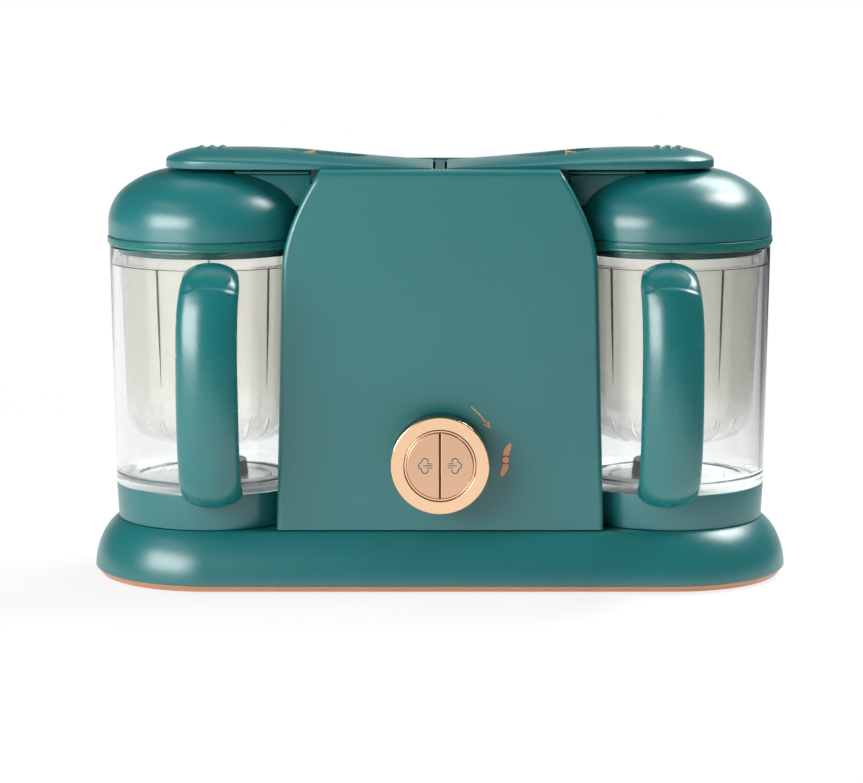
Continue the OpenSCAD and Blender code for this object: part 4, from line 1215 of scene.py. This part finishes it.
# Reflections see a darker floor towards the right, as if a dark card stood there.
flagged = ground.nodes.new("ShaderNodeMix")
flagged.inputs["A"].default_value = 1.0
ground.links.new(light_path(ground.tree, "Is Glossy Ray"), flagged.inputs["Factor"])
ground.links.new(map_range(ground.tree, split["X"], FLAG_NEAR, FLAG_FAR, 1, FLAG_SHARE), flagged.inputs["B"])
glow = ground.nodes.new("ShaderNodeEmission")
ground.links.new(flagged.outputs["Result"], glow.inputs["Strength"])
ground.blend(calculated(ground.tree, "MULTIPLY", [seen, clean]), glow.outputs[0])

FLOOR_HALF = 6.0
floor_mesh = bpy.data.meshes.new("studio_floor")
floor_corners = [(x * FLOOR_HALF, y * FLOOR_HALF, 0) for x, y in ((-1, -1), (1, -1), (1, 1), (-1, 1))]
floor_mesh.from_pydata(floor_corners, [], [(0, 1, 2, 3)])
floor = bpy.data.objects.new("studio_floor", floor_mesh)
bpy.context.collection.objects.link(floor)
floor_mesh.materials.append(ground.material)

WORLD_FILL = 0.03
MIRROR_DIM, MIRROR_BRIGHT = 0.08, 0.8
EDGE_DARK, EDGE_GREY = 0.9, 0.4
world = bpy.data.worlds.new("studio")
bpy.context.scene.world = world
world.use_nodes = True
tree = world.node_tree


def sky(strength):
    """A white sky of the given strength, a number or a socket."""
    node = tree.nodes.new("ShaderNodeBackground")
    node.inputs["Color"].default_value = (1, 1, 1, 1)
    if isinstance(strength, float):
        node.inputs["Strength"].default_value = strength
    else:
        tree.links.new(strength, node.inputs["Strength"])
    return node.outputs[0]


def card(source, start, full, last, end):
    """1 between full and last, falling to 0 at start and end."""
    rise = map_range(tree, source, start, full, 0, 1)
    return calculated(tree, "MULTIPLY", [rise, map_range(tree, source, last, end, 1, 0)])


x_way, y_way, z_way = coordinates(tree, "Generated")[1]
low_behind = [map_range(tree, y_way, 0.6, 0.9, 0, 1), map_range(tree, z_way, 0.1, 0.3, 1, 0)]
behind = calculated(tree, "MULTIPLY", low_behind)
mirror = map_range(tree, behind, 0, 1, MIRROR_DIM, MIRROR_BRIGHT)
lit = mixed(tree, light_path(tree, "Is Glossy Ray"), sky(WORLD_FILL), sky(mirror))
# Clear parts see a dark card on the right and a grey one on the left, which draw their edges.
right_card = map_range(tree, card(x_way, 0.16, 0.22, 0.5, 0.58), 0, 1, 1, 1 - EDGE_DARK)
left_card = map_range(tree, card(x_way, -0.58, -0.5, -0.22, -0.16), 0, 1, 1, 1 - EDGE_GREY)
cards = calculated(tree, "MULTIPLY", [right_card, left_card])
through = mixed(tree, light_path(tree, "Is Transmission Ray"), lit, sky(cards))
clear_view = mixed(tree, light_path(tree, "Is Camera Ray"), through, sky(1.0))
tree.links.new(clear_view, tree.nodes["World Output"].inputs["Surface"])
tree.nodes.remove(tree.nodes["Background"])

AIM = Vector((0, 0, 0.12))


def softbox(name, azimuth, elevation, distance, width, height, radiance, mirrored=True):
    """A rectangular lamp that faces the object, in degrees from the front and metres from AIM."""
    a, e = math.radians(azimuth), math.radians(elevation)
    towards = Vector((math.sin(a) * math.cos(e), -math.cos(a) * math.cos(e), math.sin(e)))
    light = bpy.data.lights.new(name, "AREA")
    light.shape = "RECTANGLE"
    light.size, light.size_y = width, height
    light.energy = radiance * math.pi * width * height
    obj = bpy.data.objects.new(name, light)
    bpy.context.collection.objects.link(obj)
    obj.visible_glossy = mirrored
    obj.location = AIM + towards * distance
    obj.rotation_euler = (-towards).to_track_quat("-Z", "Y").to_euler()


softbox("left_key", -47, 15, 1.15, 0.86, 0.46, 8.8)
softbox("front_high", -32, 46, 1.9, 1.3, 0.4, 2.2, False)
softbox("left_high", -60, 46, 1.9, 1.2, 0.4, 1.2)
softbox("right_high", 97, 48, 1.9, 0.75, 0.8, 11.0)
softbox("back_right", 130, 46, 1.9, 1.3, 0.75, 8.0)
softbox("back_high", 180, 62, 1.9, 1.4, 0.7, 0.9)
softbox("overhead", 0, 84, 1.9, 1.2, 0.5, 2.2, False)

# ---- camera

CAMERA_Y, CAMERA_Z = -1.6159, 0.3506
CAMERA_PITCH = 8.652
LENS, SHIFT_X = 118.01, -0.00985
camera_data = bpy.data.cameras.new("camera")
camera_data.sensor_width = 36
camera_data.lens = LENS
camera_data.shift_x = SHIFT_X
camera = bpy.data.objects.new("camera", camera_data)
bpy.context.collection.objects.link(camera)
camera.location = (0, CAMERA_Y, CAMERA_Z)
camera.rotation_euler = (math.radians(90 - CAMERA_PITCH), 0, 0)
bpy.context.scene.camera = camera
bpy.context.scene.view_settings.view_transform = "Standard"
